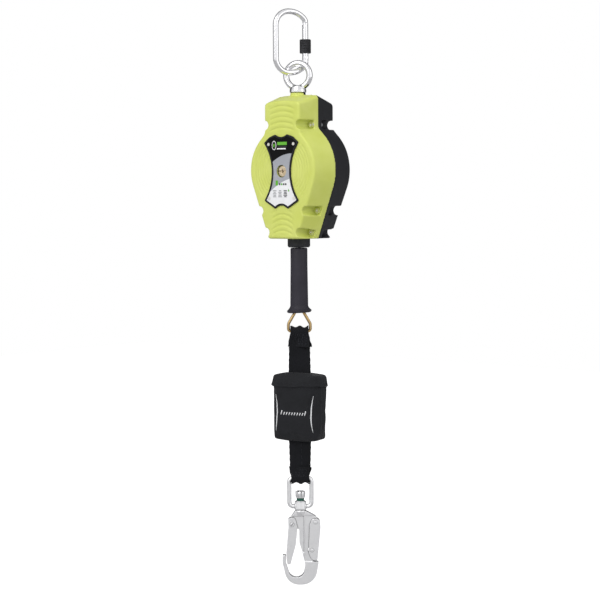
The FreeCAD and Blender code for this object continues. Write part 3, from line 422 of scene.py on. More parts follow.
def metal(name, base, shade, roughness=(0.25, 0.4), stretch=(1, 1, 1), cast=0.0, metallic=1.0,
          crevice_shade_reach=0.0, depth=0.00001):
    """Metal with a cloudy plated tone, fine marks, a cast or brushed surface, and painted shade that
    darkens its seams and crevices.
    """
    tree = Tree(bpy.data.materials.new(name), Metallic=metallic)
    tone = tree.cloudy(tree.noise(0.008, 5, 0.6), base, shade)
    if crevice_shade_reach:
        # painted shade: where ambient occlusion finds nearby surfaces, the colour darkens towards a
        # near-black copy of the shade colour
        gap = tree.add("ShaderNodeAmbientOcclusion", {"Distance": crevice_shade_reach}).outputs["AO"]
        painted_crevice_shade = tuple(part * 0.12 for part in shade)
        tone = tree.mix(tree.spread(gap, 0, 1, 0.52, 0.9), painted_crevice_shade, tone)
    marks = tree.noise(0.0009, 5, 0.7, tree.turned(0, stretch))
    layers = [(marks, depth)]
    if cast:
        layers.append((tree.noise(0.0012, 4, 0.6), cast))
    return tree.finish(tone, tree.spread(marks, *roughness), *layers)


def woven(name, base, shade, pitch, yaw, roughness=(0.75, 0.9), depth=0.00015, **sockets):
    """Woven cloth: crossing threads, fuzz, a slow fade and a painted glint that lightens the thread
    crossings.
    """
    tree = Tree(bpy.data.materials.new(name), **sockets)
    base, shade, place = linear(*base), linear(*shade), tree.turned(yaw)
    threads = tree.times(tree.wave(pitch, "X", place), tree.wave(pitch * 0.8, "Z", place))
    fade = tree.noise(0.02, 5, 0.6)
    fuzz = tree.noise(0.0006, 4, 0.7)
    painted_glint = tuple(min(1.0, part * 1.8 + 0.004) for part in base)
    # painted highlight: where the threads cross, the colour lightens towards a brighter copy of the base
    # colour
    tone = tree.mix(tree.times(threads, fuzz), tree.cloudy(fade, base, shade), painted_glint)
    return tree.finish(tone, tree.spread(fuzz, *roughness), (threads, depth), (fuzz, depth * 0.5),
                       (fade, 0.0006))


LIME = moulded("lime_plastic", (206, 215, 104), (213, 221, 118), (0.4, 0.52),
               wear=(226, 232, 160), Specular_IOR_Level=0.35)
BLACK_SHELL = moulded("black_plastic", (28, 29, 32), (33, 34, 38), (0.42, 0.55),
                      wear=(58, 59, 64), Specular_IOR_Level=0.25)
RUBBER = moulded("bezel_rubber", (25, 26, 29), (31, 32, 37), (0.45, 0.6), grain=0.0005,
                 Specular_IOR_Level=0.25)
GRIP = moulded("grip_rubber", (44, 42, 49), (51, 49, 57), (0.5, 0.66), grain=0.0006,
               wear=(74, 72, 80), Specular_IOR_Level=0.25)
NYLON = moulded("guide_nylon", (225, 222, 210), (214, 210, 196), (0.4, 0.5))
LINING = moulded("friction_lining", (96, 78, 58), (74, 60, 46), (0.7, 0.85), grain=0.0012)
CHROME = metal("bright_steel", (0.93, 0.93, 0.94), (0.88, 0.88, 0.895), (0.1, 0.16), depth=0.000001)
# the hook steel gets painted shade in its seams and crevices, reaching 2.6 mm
HOOK = metal("satin_hook_steel", (0.97, 0.97, 0.975), (0.92, 0.92, 0.93), (0.3, 0.42), cast=0.00005,
             crevice_shade_reach=2.6 * MM)
STEEL = metal("machined_steel", (0.56, 0.57, 0.58), (0.44, 0.45, 0.47), (0.25, 0.4), (1, 8, 1))
SPRING = metal("spring_steel", (0.42, 0.43, 0.46), (0.3, 0.31, 0.34), (0.25, 0.4))
SCREW = metal("screw_steel", (0.9, 0.88, 0.82), (0.78, 0.76, 0.7), (0.25, 0.4))
WASHER = metal("dark_washer", (0.07, 0.07, 0.075), (0.12, 0.12, 0.12), (0.4, 0.55))
BRASS = metal("tan_spindle", (0.66, 0.52, 0.33), (0.76, 0.64, 0.46), (0.38, 0.5), metallic=0.6)
DRUM_ALLOY = metal("drum_alloy", (0.7, 0.71, 0.72), (0.6, 0.61, 0.62), (0.35, 0.5), cast=0.0001)
FERRULE = metal("ferrule_alloy", (0.75, 0.75, 0.76), (0.6, 0.6, 0.62), (0.35, 0.5))
GOLD = metal("yellow_zinc", (0.62, 0.42, 0.17), (0.5, 0.36, 0.2), (0.2, 0.34))
ROPE = metal("wire_rope", (0.5, 0.51, 0.52), (0.34, 0.35, 0.36), (0.28, 0.42))
# the sleeve gets painted shade in the grooves of its knurl, reaching 0.8 mm
SLEEVE = metal("black_sleeve", (0.02, 0.02, 0.022), (0.05, 0.05, 0.055), (0.22, 0.34), metallic=0.7,
               crevice_shade_reach=0.8 * MM)
WEBBING = woven("black_webbing", (17, 18, 21), (22, 23, 27), 0.0011, POUCH_YAW,
                depth=0.0002, Sheen_Weight=0.06, Specular_IOR_Level=0.15)
POUCH = woven("pouch_fabric", (24, 25, 28), (31, 32, 36), 0.0007, POUCH_YAW, (0.6, 0.78),
              Sheen_Weight=0.06, Specular_IOR_Level=0.2)
THREAD = woven("stitch_thread", (42, 43, 48), (54, 55, 60), 0.0003, 0,
               Specular_IOR_Level=0.2)
PRINT_WHITE = moulded("white_print", (244, 244, 245), (234, 235, 237), (0.45, 0.55))
PRINT_BLACK = moulded("black_print", (4, 4, 5), (8, 8, 9), (0.4, 0.5),
                      Specular_IOR_Level=0.12)
PRINT_SILVER = moulded("silver_print", (160, 163, 170), (172, 175, 182), (0.35, 0.45),
                       Metallic=0.2)
PRINT_GREY = moulded("grey_print", (150, 151, 154), (166, 167, 170), (0.4, 0.5))
PRINT_DARK = moulded("dark_print", (46, 46, 52), (60, 60, 66), (0.4, 0.5))
PRINT_GREEN = moulded("green_print", (98, 184, 44), (88, 172, 38), (0.35, 0.45))
BAND = moulded("indicator_green", (18, 92, 74), (14, 80, 64), (0.35, 0.5))
SLOT_SHADE = moulded("slot_shade", (96, 70, 44), (80, 58, 36), (0.6, 0.7))

CARRIED = {
    CHROME: ("gate_hinge_rivet", "carabiner_gate", "gate_latch_pin"),
    SPRING: ("gate_spring", "gate_plunger", "power_spring", "disc_springs"),
    STEEL: ("swivel_nut", "thrust_bearing", "load_frame", "main_shaft", "brake_hub", "pressure_plate",
            "brake_nut", "ratchet_wheel", "pawl_upper", "pawl_lower", "pawl_pins", "pawl_spring_posts",
            "housing_nuts", "spring_cover", "spring_cover_rivets", "thimble"),
    SCREW: ("housing_screws", "label_screws"),
    WASHER: ("swivel_washer",),
    PRINT_SILVER: ("label_plate",),
    LINING: ("brake_linings",),
    DRUM_ALLOY: ("cable_drum", "drum_bushings"),
    ROPE: ("cable_winding", "cable_lead", "cable_eye"),
    NYLON: ("cable_guide",),
    FERRULE: ("cable_ferrule",),
    GOLD: ("absorber_link",),
    BLACK_SHELL: ("nozzle_collar",),
    HOOK: ("swivel_frame",),
    BAND: ("load_indicator_band",),
    WEBBING: ("absorber_pack",),
}


def dress_carried_nodes():
    for material, names in CARRIED.items():
        for name in names:
            for slot in nodes[name].material_slots:
                slot.material = material


# ---------------------------------------------------------------- housing
CIRCLE_LEVEL = 2 * MM          # the big circle's centre above the drum's axis
FACE_RADIUS = 70 * MM
SHELL_VOXEL = 1.25 * MM
LINE_DEPTH = 1.15 * MM


def contour(distance, pitch):
    """Narrow moulded lines, pitch apart: 1 in the line and 0 between."""
    return (0.5 + 0.5 * np.cos(2 * math.pi * distance / pitch)) ** 3


def face_lines(x, z):
    """How deep the moulded lines of the flat face are, from 0 to 1."""
    level = z - CIRCLE_LEVEL
    radius = np.hypot(x, level)
    ring = contour(radius - FACE_RADIUS, 5.4 * MM) * eased(radius, 26 * MM, 30 * MM)
    ring *= 1 - eased(radius, FACE_RADIUS - 9 * MM, FACE_RADIUS - 7 * MM)
    ring *= 1 - eased(np.abs(level) / np.maximum(radius, MM), 0.66, 0.78)
    top = contour(z + x * x / (130 * MM), 9 * MM) * (1 - eased(np.abs(x), 22 * MM, 28 * MM))
    top *= eased(z, 64 * MM, 68 * MM) * (1 - eased(z, 108 * MM, 112 * MM))
    foot = contour(z + x * x / (70 * MM), 9 * MM) * (1 - eased(np.abs(x), 18 * MM, 25 * MM))
    foot *= (1 - eased(z, -68 * MM, -64 * MM)) * eased(z, -108 * MM, -105 * MM)
    return ring + top + foot


def label_tree():
    work = bmesh.new()
    for name in ("label_bezel", "label_plate"):
        work.from_mesh(nodes[name].data)
    tree = BVHTree.FromBMesh(work)
    work.free()
    return tree


def casing(node, face, inward, name, material, clear=None):
    """One shell half: soft moulded edges, and contour lines sunk into its flat face."""
    piece = remeshed(copy_of(node, name), SHELL_VOXEL, 4)
    points = corners(piece)
    flat = np.abs(points[:, 1] - face) < 0.5 * MM
    depth = np.zeros(len(points))
    depth[flat] = face_lines(points[flat, 0], points[flat, 2] - DRUM)
    if clear:
        reach = 5 * MM
        for index in np.nonzero(flat & (depth > 0) & (np.abs(points[:, 0]) < 45 * MM))[0]:
            at = clear.find_nearest(Vector(points[index]), reach)
            if at[0] is not None:
                depth[index] *= float(eased(at[3], 1.5 * MM, 4 * MM))
    points[:, 1] += inward * LINE_DEPTH * depth
    set_corners(piece, points)
    return done(piece, "housing", material, (node,))


def build_casing():
    casing("front_shell", FRONT_FACE, 1, "front_casing", LIME, label_tree())
    casing("rear_shell", REAR_FACE, -1, "rear_casing", BLACK_SHELL)


def build_bezel():
    piece = remeshed(copy_of("label_bezel", "label_rim"), 0.55 * MM, 6)
    done(piece, "housing", RUBBER, ("label_bezel",))


# ---------------------------------------------------------------- label
PRINT_DEPTH = 0.12 * MM
PLATE_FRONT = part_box("label_plate")[0].y


def patch(name, outline, material, lift=1, thick=PRINT_DEPTH, ride=True):
    """A thin flat print: outline is a list of (x, height over the drum's axis) in mm."""
    back = PLATE_FRONT - (lift - 1) * PRINT_DEPTH + 0.02 * MM
    front = PLATE_FRONT - (lift - 1) * PRINT_DEPTH - thick
    points = [(x * MM, y, DRUM + z * MM) for y in (front, back) for x, z in outline]
    count = len(outline)
    faces = [tuple(range(count)), tuple(range(count, 2 * count))]
    faces += [(k, (k + 1) % count, count + (k + 1) % count, count + k) for k in range(count)]
    piece = from_lists(name, points, faces)
    if ride:
        done(piece, "housing", material, crisp=True)
    return piece


def field(name, rise, above, material):
    """The part of the label above or below the curve z = a + b x + c x^2, in mm."""
    a, b, c = rise
    half, far = 45, 80 if above else -80
    curve = [(x, a + b * x + c * x * x) for x in range(-half, half + 1, 3)]
    region = patch("region", curve + [(half, far), (-half, far)], None, 1, PRINT_DEPTH, False)
    sheet = copy_of("label_plate", name)
    sheet.data.transform(Matrix.Translation((0, -2 * PRINT_DEPTH, 0)))
    boolean(sheet, region, "INTERSECT")
    return done(sheet, "housing", material, crisp=True)


def block(x, z, wide, tall):
    return [(x - wide / 2, z - tall / 2), (x + wide / 2, z - tall / 2),
            (x + wide / 2, z + tall / 2), (x - wide / 2, z + tall / 2)]


def ring_outline(x, z, wide, tall, count=32):
    return [(x + wide * math.cos(turn), z + tall * math.sin(turn)) for turn in circle(count)]


def build_label():
    field("label_black_field", (25.5, 0.35, -0.0083), True, PRINT_BLACK)
    field("label_white_field", (-18.8, 0.45, -0.0065), False, PRINT_WHITE)
    patch("emblem_disc", ring_outline(-15.5, 43, 4.8, 7.6), PRINT_WHITE, 2)
    patch("emblem_core", ring_outline(-15.5, 43, 3.7, 6.4), PRINT_BLACK, 3)
    patch("emblem_dot", ring_outline(-15.5, 43, 1.6, 3, 20), PRINT_GREEN, 4)
    patch("emblem_bar", block(2, 46, 21, 5.2), PRINT_GREEN, 2)
    patch("emblem_thin_line", block(2, 41, 20, 1), PRINT_DARK, 2)
    patch("emblem_line", block(0.5, 37.4, 19.5, 2.1), PRINT_WHITE, 2)
    patch("grade_mark", block(-10, -19.5, 5, 8.4), PRINT_GREEN, 2)
    for number in range(4):
        ink = PRINT_GREEN if number == 1 else PRINT_DARK
        patch("grade_block_%d" % number, block(-3.6 + 4.4 * number, -21.6, 3, 3.2), ink, 2)
    patch("corner_mark", [(14, -33.6), (17.6, -33.6), (15.8, -29)], PRINT_GREEN, 2)
    for number, (x, ink) in enumerate(((-14.7, PRINT_GREY), (-3, PRINT_GREY), (8.6, PRINT_DARK))):
        for row in range(5):
            wide = (8, 5, 7.4, 6, 7)[(row + number) % 5]
            patch("pictogram_%d_%d" % (number, row), block(x, -32.4 - 2.5 * row, wide, 1.5), ink, 2)


def build_spindle():
    """The slotted end of the main shaft, seen through the label's hole."""
    low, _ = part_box("spindle_end")
    piece = copy_of("spindle_end", "slotted_spindle")
    slot_wide, slot_tall, slot_deep = 2 * MM, 7 * MM, 1.2 * MM
    cutter = rounded_box("cutter", Vector((-slot_wide / 2, low.y - MM, DRUM - slot_tall / 2)),
                         Vector((slot_wide / 2, low.y + slot_deep, DRUM + slot_tall / 2)),
                         0.5 * MM, Matrix())
    boolean(piece, cutter, "DIFFERENCE")
    bevelled(piece, 0.4 * MM, 2)
    done(piece, "housing", BRASS, ("spindle_end",), 40)
    floor = rounded_box("slot_floor", Vector((-slot_wide * 0.45, low.y + slot_deep - 0.3 * MM,
                                              DRUM - slot_tall * 0.45)),
                        Vector((slot_wide * 0.45, low.y + slot_deep + 0.3 * MM,
                                DRUM + slot_tall * 0.45)), 0.2 * MM, Matrix())
    done(floor, "housing", SLOT_SHADE)


# ---------------------------------------------------------------- carabiner
CARABINER_ROD, CARABINER_HALF = 4.7 * MM, 27.5 * MM
CARABINER_PLACE = yaw_matrix(CARABINER_YAW, centre_of("carabiner_body"))


def build_lock_sleeve():
    """A screw sleeve with a diamond knurl and plain chamfered ends."""
    low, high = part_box("lock_sleeve")
    axis = (low + high) / 2
    radius, bore, tall = (high.x - low.x) / 2, 5.6 * MM, high.z - low.z
    around, rows, teeth, cut = 168, 72, 28, 0.55 * MM
    turn = np.arange(around) * 2 * math.pi / around
    heights = np.linspace(0, tall, rows)
    lines = []
    for height in heights:
        inset = min(height, tall - height)
        edge = radius - max(0.0, 0.9 * MM - inset)
        lean = teeth / 2 * height / radius
        ridge = np.minimum(np.abs(np.sin(teeth / 2 * turn + lean)), np.abs(np.sin(teeth / 2 * turn - lean)))
        depth = cut * (1 - np.minimum(1, ridge * 1.5)) * float(eased(inset, 1.1 * MM, 1.9 * MM))
        lines.append([(edge - d, height) for d in depth])
    lines = [[(bore, 0)] * around] + lines + [[(bore, tall)] * around]
    points = [(axis.x + r * math.cos(a), axis.y + r * math.sin(a), low.z + z)
              for line in lines for (r, z), a in zip(line, turn)]
    piece = from_lists("knurled_sleeve", points, grid_faces(len(lines), around))
    done(piece, "screw_sleeve", SLEEVE, ("lock_sleeve",), 40)


def build_rods():
    """The carabiner's body and the swivel eye, with their bars made truly round."""
    low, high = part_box("carabiner_body")
    rod, half, slope = CARABINER_ROD, CARABINER_HALF, 14 * MM
    tall = (high.z - low.z) / 2 - rod
    route = [(half, 33 * MM, 0), (half, tall - slope, 9 * MM), (half - slope, tall, 36 * MM),
             (-half, tall, 24 * MM), (-half, -tall, 24 * MM), (half - slope, -tall, 36 * MM),
             (half, slope - tall, 9 * MM), (half, -32.6 * MM, 0)]
    body = remeshed(copy_of("carabiner_body", "bent_carabiner"), 0.55 * MM, 2)
    trued(body, [CARABINER_PLACE @ Vector((at.x, 0, at.y)) for at in bend_path(route)], rod)
    done(body, "anchor_carabiner", CHROME, ("carabiner_body",))

    low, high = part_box("swivel_eye")
    bar, ring = 5.1 * MM, 20.8 * MM
    centre = Vector((0, 0, high.z - bar - ring))
    place = yaw_matrix(EYE_YAW, centre)
    turns = [2 * math.pi * k / 400 for k in range(401)]
    eye = remeshed(copy_of("swivel_eye", "forged_eye"), 0.55 * MM, 4)
    trued(eye, [place @ Vector((ring * math.cos(turn), 0, ring * math.sin(turn))) for turn in turns], bar)
    done(eye, "swivel_eye", CHROME, ("swivel_eye",))


def build_rating_marks():
    """Roll marks along the carabiner's back bar."""
    rod, place = CARABINER_ROD, CARABINER_PLACE
    marks = []
    count, pace = 17, 2.9 * MM
    for step in range(count):
        height = (step - count / 2) * pace + 2 * MM
        long = (1.6, 2.2, 1.2)[step % 3] * MM
        for turn in (-150, -136):
            angle = math.radians(turn)
            start = Vector((-CARABINER_HALF + rod * math.cos(angle), rod * math.sin(angle), height))
            end = start + Vector((0, 0, long))
            marks.append(tube("mark", [place @ start, place @ end], 0.16 * MM, 6))
    done(joined("roll_marks", marks), "anchor_carabiner", STEEL)


# ---------------------------------------------------------------- line
def build_grip():
    """The rubber hand grip: a slim tube that flares into a bell at its foot."""
    low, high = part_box("grip_sleeve")
    top, foot = high.z - DRUM, low.z - DRUM
    slim, outer, flare, bore = 14.3 * MM, 15.1 * MM, (high.x - low.x) / 2, 12.4 * MM
    rim = 2.2 * MM
    profile = [(6 * MM, top), (slim - 2 * MM, top), (slim - 0.5 * MM, top - 0.6 * MM),
               (slim, top - 2 * MM), (slim, top - 30 * MM), (outer, foot + 15 * MM)]
    bend = 10
    for step in range(bend + 1):
        share = step / bend
        profile.append((outer + (flare - outer) * (0.25 * share + 0.75 * share * share),
                        foot + (12 - 8.4 * share) * MM))
    for step in range(1, 7):
        angle = math.pi / 2 * step / 6
        profile.append((flare - rim * (1 - math.cos(angle)), foot + 3.6 * MM - 3.6 * MM * math.sin(angle)))
    profile += [(bore + 1.5 * MM, foot), (bore, foot + 1.5 * MM), (bore, top - 10 * MM),
                (6 * MM, top - 6 * MM)]
    piece = lathe("grip", profile, 112, Matrix.Translation((0, 0, DRUM)))
    points = corners(piece)
    lean, start = 0.045, foot + DRUM + 13 * MM
    lateral = points[:, 0] * math.cos(math.radians(LINE_YAW))
    lateral += points[:, 1] * math.sin(math.radians(LINE_YAW))
    share = 1 - eased(points[:, 2], foot + DRUM + 3 * MM, start)
    points[:, 2] += np.maximum(lean * lateral, -0.9 * MM) * share + 0.45 * MM * share
    set_corners(piece, points)
    done(piece, "lifeline", GRIP, ("grip_sleeve",), 50)


def build_rope():
    """Six strands laid up round a core. The turns that pay out are stored close together."""
    low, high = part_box("cable_run")
    payout = joint("line_payout")["range_m"][1]
    lay, lobes, sides = 34 * MM, 6, 24
    strand = (high.x - low.x) / 2
    tall = high.z - low.z
    whole = tall + payout
    sections = int(whole / lay * 8)
    share = np.linspace(0, 1, 4001)
    reach = share * tall + payout * share * share * (3 - 2 * share)
    spots = np.interp(np.linspace(0, whole, sections + 1), reach, share)
    points = []
    for index, spot in enumerate(spots):
        turn = 2 * math.pi * whole * index / sections / lay
        for angle in circle(sides):
            radius = strand * (0.8 + 0.2 * abs(math.cos(lobes / 2 * angle)))
            points.append((radius * math.cos(angle + turn), radius * math.sin(angle + turn),
                           high.z - spot * tall))
    mesh = bpy.data.meshes.new("rope")
    mesh.from_pydata(points, [], grid_faces(sections + 1, sides, False))
    piece = add_object("rope", mesh)
    done(piece, None, ROPE, ("cable_run",), 60)
    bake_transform(piece)


# ---------------------------------------------------------------- webbing
class Strap:
    """A flat strap that goes up one side of a bar, over it and down the other side.

    Its width runs along the bar at the bar, and turns to the pouch's yaw at its other end.
    """

    def __init__(self, bar, bar_radius, end, flip, loop_width, end_width, offset, thick, ripple):
        self.bar, self.end, self.flip = bar, end, flip
        self.loop_width, self.end_width = loop_width, end_width
        self.offset, self.thick, self.ripple = offset, thick, ripple
        self.round = bar_radius + 0.5 * MM + offset
        self.straight = abs(bar - end)
        self.arc = math.pi * self.round
        self.length = 2 * self.straight + self.arc

    def spot(self, along, across, lift):
        """A point at along metres from the front end, across from -1 to 1, lift out of the middle."""
        if along < self.straight:
            down, turn = self.straight - along, 0.0
        elif along < self.straight + self.arc:
            down, turn = 0.0, (along - self.straight) / self.round
        else:
            down, turn = along - self.straight - self.arc, math.pi
        share = float(eased(down, 0, self.straight))
        yaw = math.radians(LINE_YAW + (POUCH_YAW - LINE_YAW) * share)
        near = float(eased(down, 0, 16 * MM))
        width = self.loop_width + (self.end_width - self.loop_width) * near
        width /= math.cos(yaw - math.radians(LINE_YAW))
        gap = self.round + (self.offset - self.round) * near
        top = math.sin(turn) if turn else 0.0
        bulge = self.ripple * (math.cos(across * 2 * math.pi) + 0.35 * math.sin(across * 7)) * top
        out = gap + lift
        if down == 0.0:
            depth = -(self.round + lift) * math.cos(turn)
            rise = (self.round + lift + bulge) * math.sin(turn)
        else:
            depth = -out if turn == 0 else out
            rise = -down
        side = across * width / 2
        x, y = math.cos(yaw), math.sin(yaw)
        return Vector((x * side - y * depth, y * side + x * depth, self.bar + self.flip * rise))

    def body(self, name, start, stop, steps=64, columns=18, flare=0.0, wave=0.0):
        """The strap's own closed surface between two distances along it."""
        half = self.thick / 2
        section = [(-1 + 2 * k / columns, -1) for k in range(columns + 1)]
        section += [(1 - 2 * k / columns, 1) for k in range(columns + 1)]
        points = []
        for step in range(steps + 1):
            along = start + (stop - start) * step / steps
            ends = min(step, steps - step) / steps
            for across, face in section:
                edge = abs(across) ** 8
                lift = face * half * (1 - 0.35 * edge)
                lift += wave * math.sin(along * 420 + across * 3.1) * (0.4 + 0.6 * abs(across))
                spread = flare if across > 0 else flare * 0.25
                wide = across * (1 + spread * float(1 - eased(ends, 0, 0.16)))
                wide += 0.012 * math.sin(along * 610 + 2) * edge * (1 if across > 0 else -1)
                points.append(self.spot(along, wide, lift))
        return from_lists(name, points, grid_faces(steps + 1, len(section), False))

    def stitches(self, runs, thread=0.32 * MM, stitch=2.6 * MM, gap=1.3 * MM):
        """Threads along runs, each (start along, across, end along, end across)."""
        made = []
        for a, b, c, d in runs:
            long = math.hypot(c - a, (d - b) * self.end_width / 2)
            count = max(1, int(long / (stitch + gap)))
            for k in range(count):
                first = (k + 0.15) / count
                last = first + stitch / (stitch + gap) / count
                path = []
                for share, lift in ((first, -0.1 * MM), (first * 0.75 + last * 0.25, 0.18 * MM),
                                    (first * 0.25 + last * 0.75, 0.18 * MM), (last, -0.1 * MM)):
                    path.append(self.spot(a + (c - a) * share, b + (d - b) * share,
                                          self.thick / 2 + lift))
                made.append(tube("stitch", path, thread, 6))
        return made


def box_stitch(start, stop):
    """Rows of stitching between two distances, closed by cross rows, with a zigzag over them."""
    edge, zigs = 0.8, 5
    runs = [(start, across, stop, across) for across in (-edge, -0.4, 0.0, 0.4, edge)]
    runs += [(start, -edge, start, edge), (stop, -edge, stop, edge)]
    for k in range(zigs):
        low, high = (-edge + 2 * edge * at / zigs for at in (k, k + 1))
        runs.append((start if k % 2 else stop, low, stop if k % 2 else start, high))
    return runs


def build_strap(side, bar, rod, end, flip, loop, fold_long, flare, stitch_long):
    """A doubled strap through a bar, and the folded-back end sewn over it."""
    wide, layer, cover = 34.8 * MM, 3.2 * MM, 1.5 * MM
    strap = Strap(bar, rod, end, flip, loop, wide, layer / 2 + 0.3 * MM, layer, 0.5 * MM)
    piece = strap.body(side + "_strap", 0, strap.length, 110, wave=0.12 * MM)
    done(piece, "absorber", WEBBING, (side + "_webbing",), 50)
    fold = Strap(bar, rod, bar - flip * fold_long, flip, loop, wide * 0.955,
                 layer + cover / 2 + 0.35 * MM, cover, 1.5 * MM)
    piece = fold.body(side + "_strap_fold", 0, fold.length, 90, flare=flare, wave=0.28 * MM)
    done(piece, "absorber", WEBBING, (), 50)
    rows = box_stitch(3 * MM, stitch_long)
    rows += [(fold.length - a, b, fold.length - c, d) for a, b, c, d in rows]
    done(joined(side + "_stitching", fold.stitches(rows)), "absorber", THREAD)
    return strap


def build_webbing():
    pouch_low, pouch_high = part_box("absorber_pouch")
    link_low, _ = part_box("absorber_link")
    _, ring_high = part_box("swivel_frame")
    link_rod, ring_rod = 2.5 * MM, 3.65 * MM
    hidden = 8 * MM
    build_strap("upper", link_low.z + link_rod, link_rod, pouch_high.z - hidden, 1, 30.5 * MM,
                26.5 * MM, 0.14, 22 * MM)
    lower = build_strap("lower", ring_high.z - ring_rod, ring_rod, pouch_low.z + hidden, -1, 30 * MM,
                        19 * MM, 0.04, 15 * MM)
    seam = lower.stitches([(hidden + 3 * MM, 0.2, lower.straight - 20 * MM, 0.2)],
                          0.4 * MM, 5.4 * MM, 4 * MM)
    done(joined("lower_centre_seam", seam), "absorber", THREAD)


# ---------------------------------------------------------------- pouch
POUCH_WIDE, POUCH_DEEP = 84 * MM, 40 * MM


def swollen(piece, pressure, cap, frames=20):
    """Cloth blown up from inside, with each point's move capped."""
    start = corners(piece)
    cloth = modify(piece, "CLOTH").settings
    cloth.use_pressure = True
    cloth.uniform_pressure_force = pressure
    cloth.effector_weights.gravity = 0
    scene = bpy.context.scene
    for step in range(1, frames + 1):
        scene.frame_set(step)
    settle(piece)
    scene.frame_set(1)
    move = corners(piece) - start
    far = np.linalg.norm(move, axis=1)
    move *= (np.minimum(far, cap) / np.maximum(far, 1e-9))[:, None]
    set_corners(piece, start + move)


def rounded_box(name, low, high, radius, place):
    """A closed box with rounded edges."""
    points = [(x, y, z) for x in (low.x, high.x) for y in (low.y, high.y) for z in (low.z, high.z)]
    faces = [(0, 1, 3, 2), (4, 6, 7, 5), (0, 4, 5, 1), (2, 3, 7, 6), (0, 2, 6, 4), (1, 5, 7, 3)]
    piece = from_lists(name, points, faces)
    bevelled(piece, radius, 4, 20)
    piece.data.transform(place)
    return piece


def creases(points):
    """Slack folds that run up the pouch, deeper towards its sides, as a depth for each point."""
    side = np.abs(points[:, 0]) / (POUCH_WIDE / 2)
    fold = np.array([noise.fractal(Vector((p[0] * 55 + 3, p[1] * 70, p[2] * 16)), 1.0, 2.0, 3)
                     for p in points])
    dimple = np.array([noise.noise(Vector((p[0] * 30, p[1] * 30 + 9, p[2] * 26))) for p in points])
    return fold * (0.5 + 0.9 * eased(side, 0.5, 1)) * MM + dimple * 0.9 * MM


def build_pouch():
    low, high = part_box("absorber_pouch")
    tall = high.z - low.z
    middle = Vector((0, 0, (low.z + high.z) / 2))
    place = yaw_matrix(POUCH_YAW, middle)
    slack = Vector((0.6 * MM, 0.9 * MM, 1 * MM))
    half = Vector((POUCH_WIDE / 2, POUCH_DEEP / 2, tall / 2)) - slack
    pouch = rounded_box("pouch", -half, half, 3.2 * MM, Matrix())
    remeshed(pouch, 3.4 * MM, 1)
    swollen(pouch, 4.0, 2.2 * MM)
    modify(pouch, "SUBSURF", levels=2, render_levels=2)
    settle(pouch)
    points = corners(pouch)
    rise = points[:, 2] / (tall / 2)
    points[:, 0] *= 1.045 - 0.055 * eased(-rise, -0.3, 1) - 0.02 * eased(rise, 0.72, 1)
    points[:, 1] *= 1.07 - 0.06 * eased(rise, 0.8, 1) - 0.06 * eased(-rise, 0.75, 1)
    away = points / np.maximum(np.linalg.norm(points * [1, 2, 0.2], axis=1), MM)[:, None]
    away[:, 2] = 0
    points += away * creases(points)[:, None]
    set_corners(pouch, points)
    surface = BVHTree.FromPolygons([tuple(p) for p in points],
                                   [tuple(f.vertices) for f in pouch.data.polygons])
    pouch.data.transform(place)
    done(pouch, "absorber", POUCH, ("absorber_pouch",))
    build_flap(surface, tall, place)
    build_piping(surface, place)


def skin(surface, x, z, side=-1, lift=0.0):
    """The point of the pouch's front (side -1) or back at x and z, pushed out by lift."""
    start = Vector((x, side * 0.08, z))
    at, normal, _, _ = surface.ray_cast(start, Vector((0, -side, 0)))
    if at is None:
        return Vector((x, side * POUCH_DEEP / 2, z))
    return at + normal * lift


def round_pouch(surface, z, count, lift):
    """Points round the pouch at one height, pushed out by lift."""
    made = []
    for angle in circle(count):
        ray = Vector((math.cos(angle) * POUCH_WIDE, math.sin(angle) * POUCH_DEEP, 0)).normalized()
        start = Vector((0, 0, z)) + ray * 0.09
        at, _, _, _ = surface.ray_cast(start, -ray)
        at = at if at is not None else Vector((0, 0, z)) + ray * 0.02
        made.append(at + ray * lift)
    return made


def build_flap(surface, tall, place):
    """The flap: a cloth cap turned down over the pouch's top, its corners standing out."""
    top = tall / 2
    cloth, count = 1.1 * MM, 160
    drops = (1.5, 3, 5.5, 9, 13, 16.5, 19, 20.5)
    lifts = (0.3, 0.6, 0.8, 0.9, 1.0, 1.2, 1.6, 1.9)
    rings = []
    for inner in (False, True):
        rows = []
        for drop, lift in zip(drops, lifts):
            row = round_pouch(surface, top - drop * MM, count, lift * MM - (cloth if inner else 0))
            for at, angle in zip(row, circle(count)):
                corner = abs(math.sin(2 * angle)) ** 3 * float(eased(drop, 9, 20.5))
                at.x += math.copysign((2.8 if at.x < 0 else 1.2) * MM * corner, at.x)
                at.z -= (1.2 * math.sin(3 * angle + 1) + 0.5 * math.sin(11 * angle)) * MM * drop / 20
            rows.append(row)
        rings.append(rows)
    rows = rings[0] + rings[1][::-1]
    points = [place @ at for row in rows for at in row]
    piece = from_lists("pouch_flap", points, grid_faces(len(rows), count))
    done(piece, "absorber", POUCH, (), 60)
    seam = []
    around_count, stitch_drops = 110, (16.2, 23.6)
    for drop, lift in zip(stitch_drops, (1.25, 0.15)):
        row = round_pouch(surface, top - drop * MM, around_count, lift * MM)
        for k in range(0, around_count, 2):
            seam.append(tube("seam", [place @ row[k], place @ row[(k + 1) % around_count]], 0.3 * MM, 6))
    done(joined("flap_seam", seam), "absorber", THREAD)


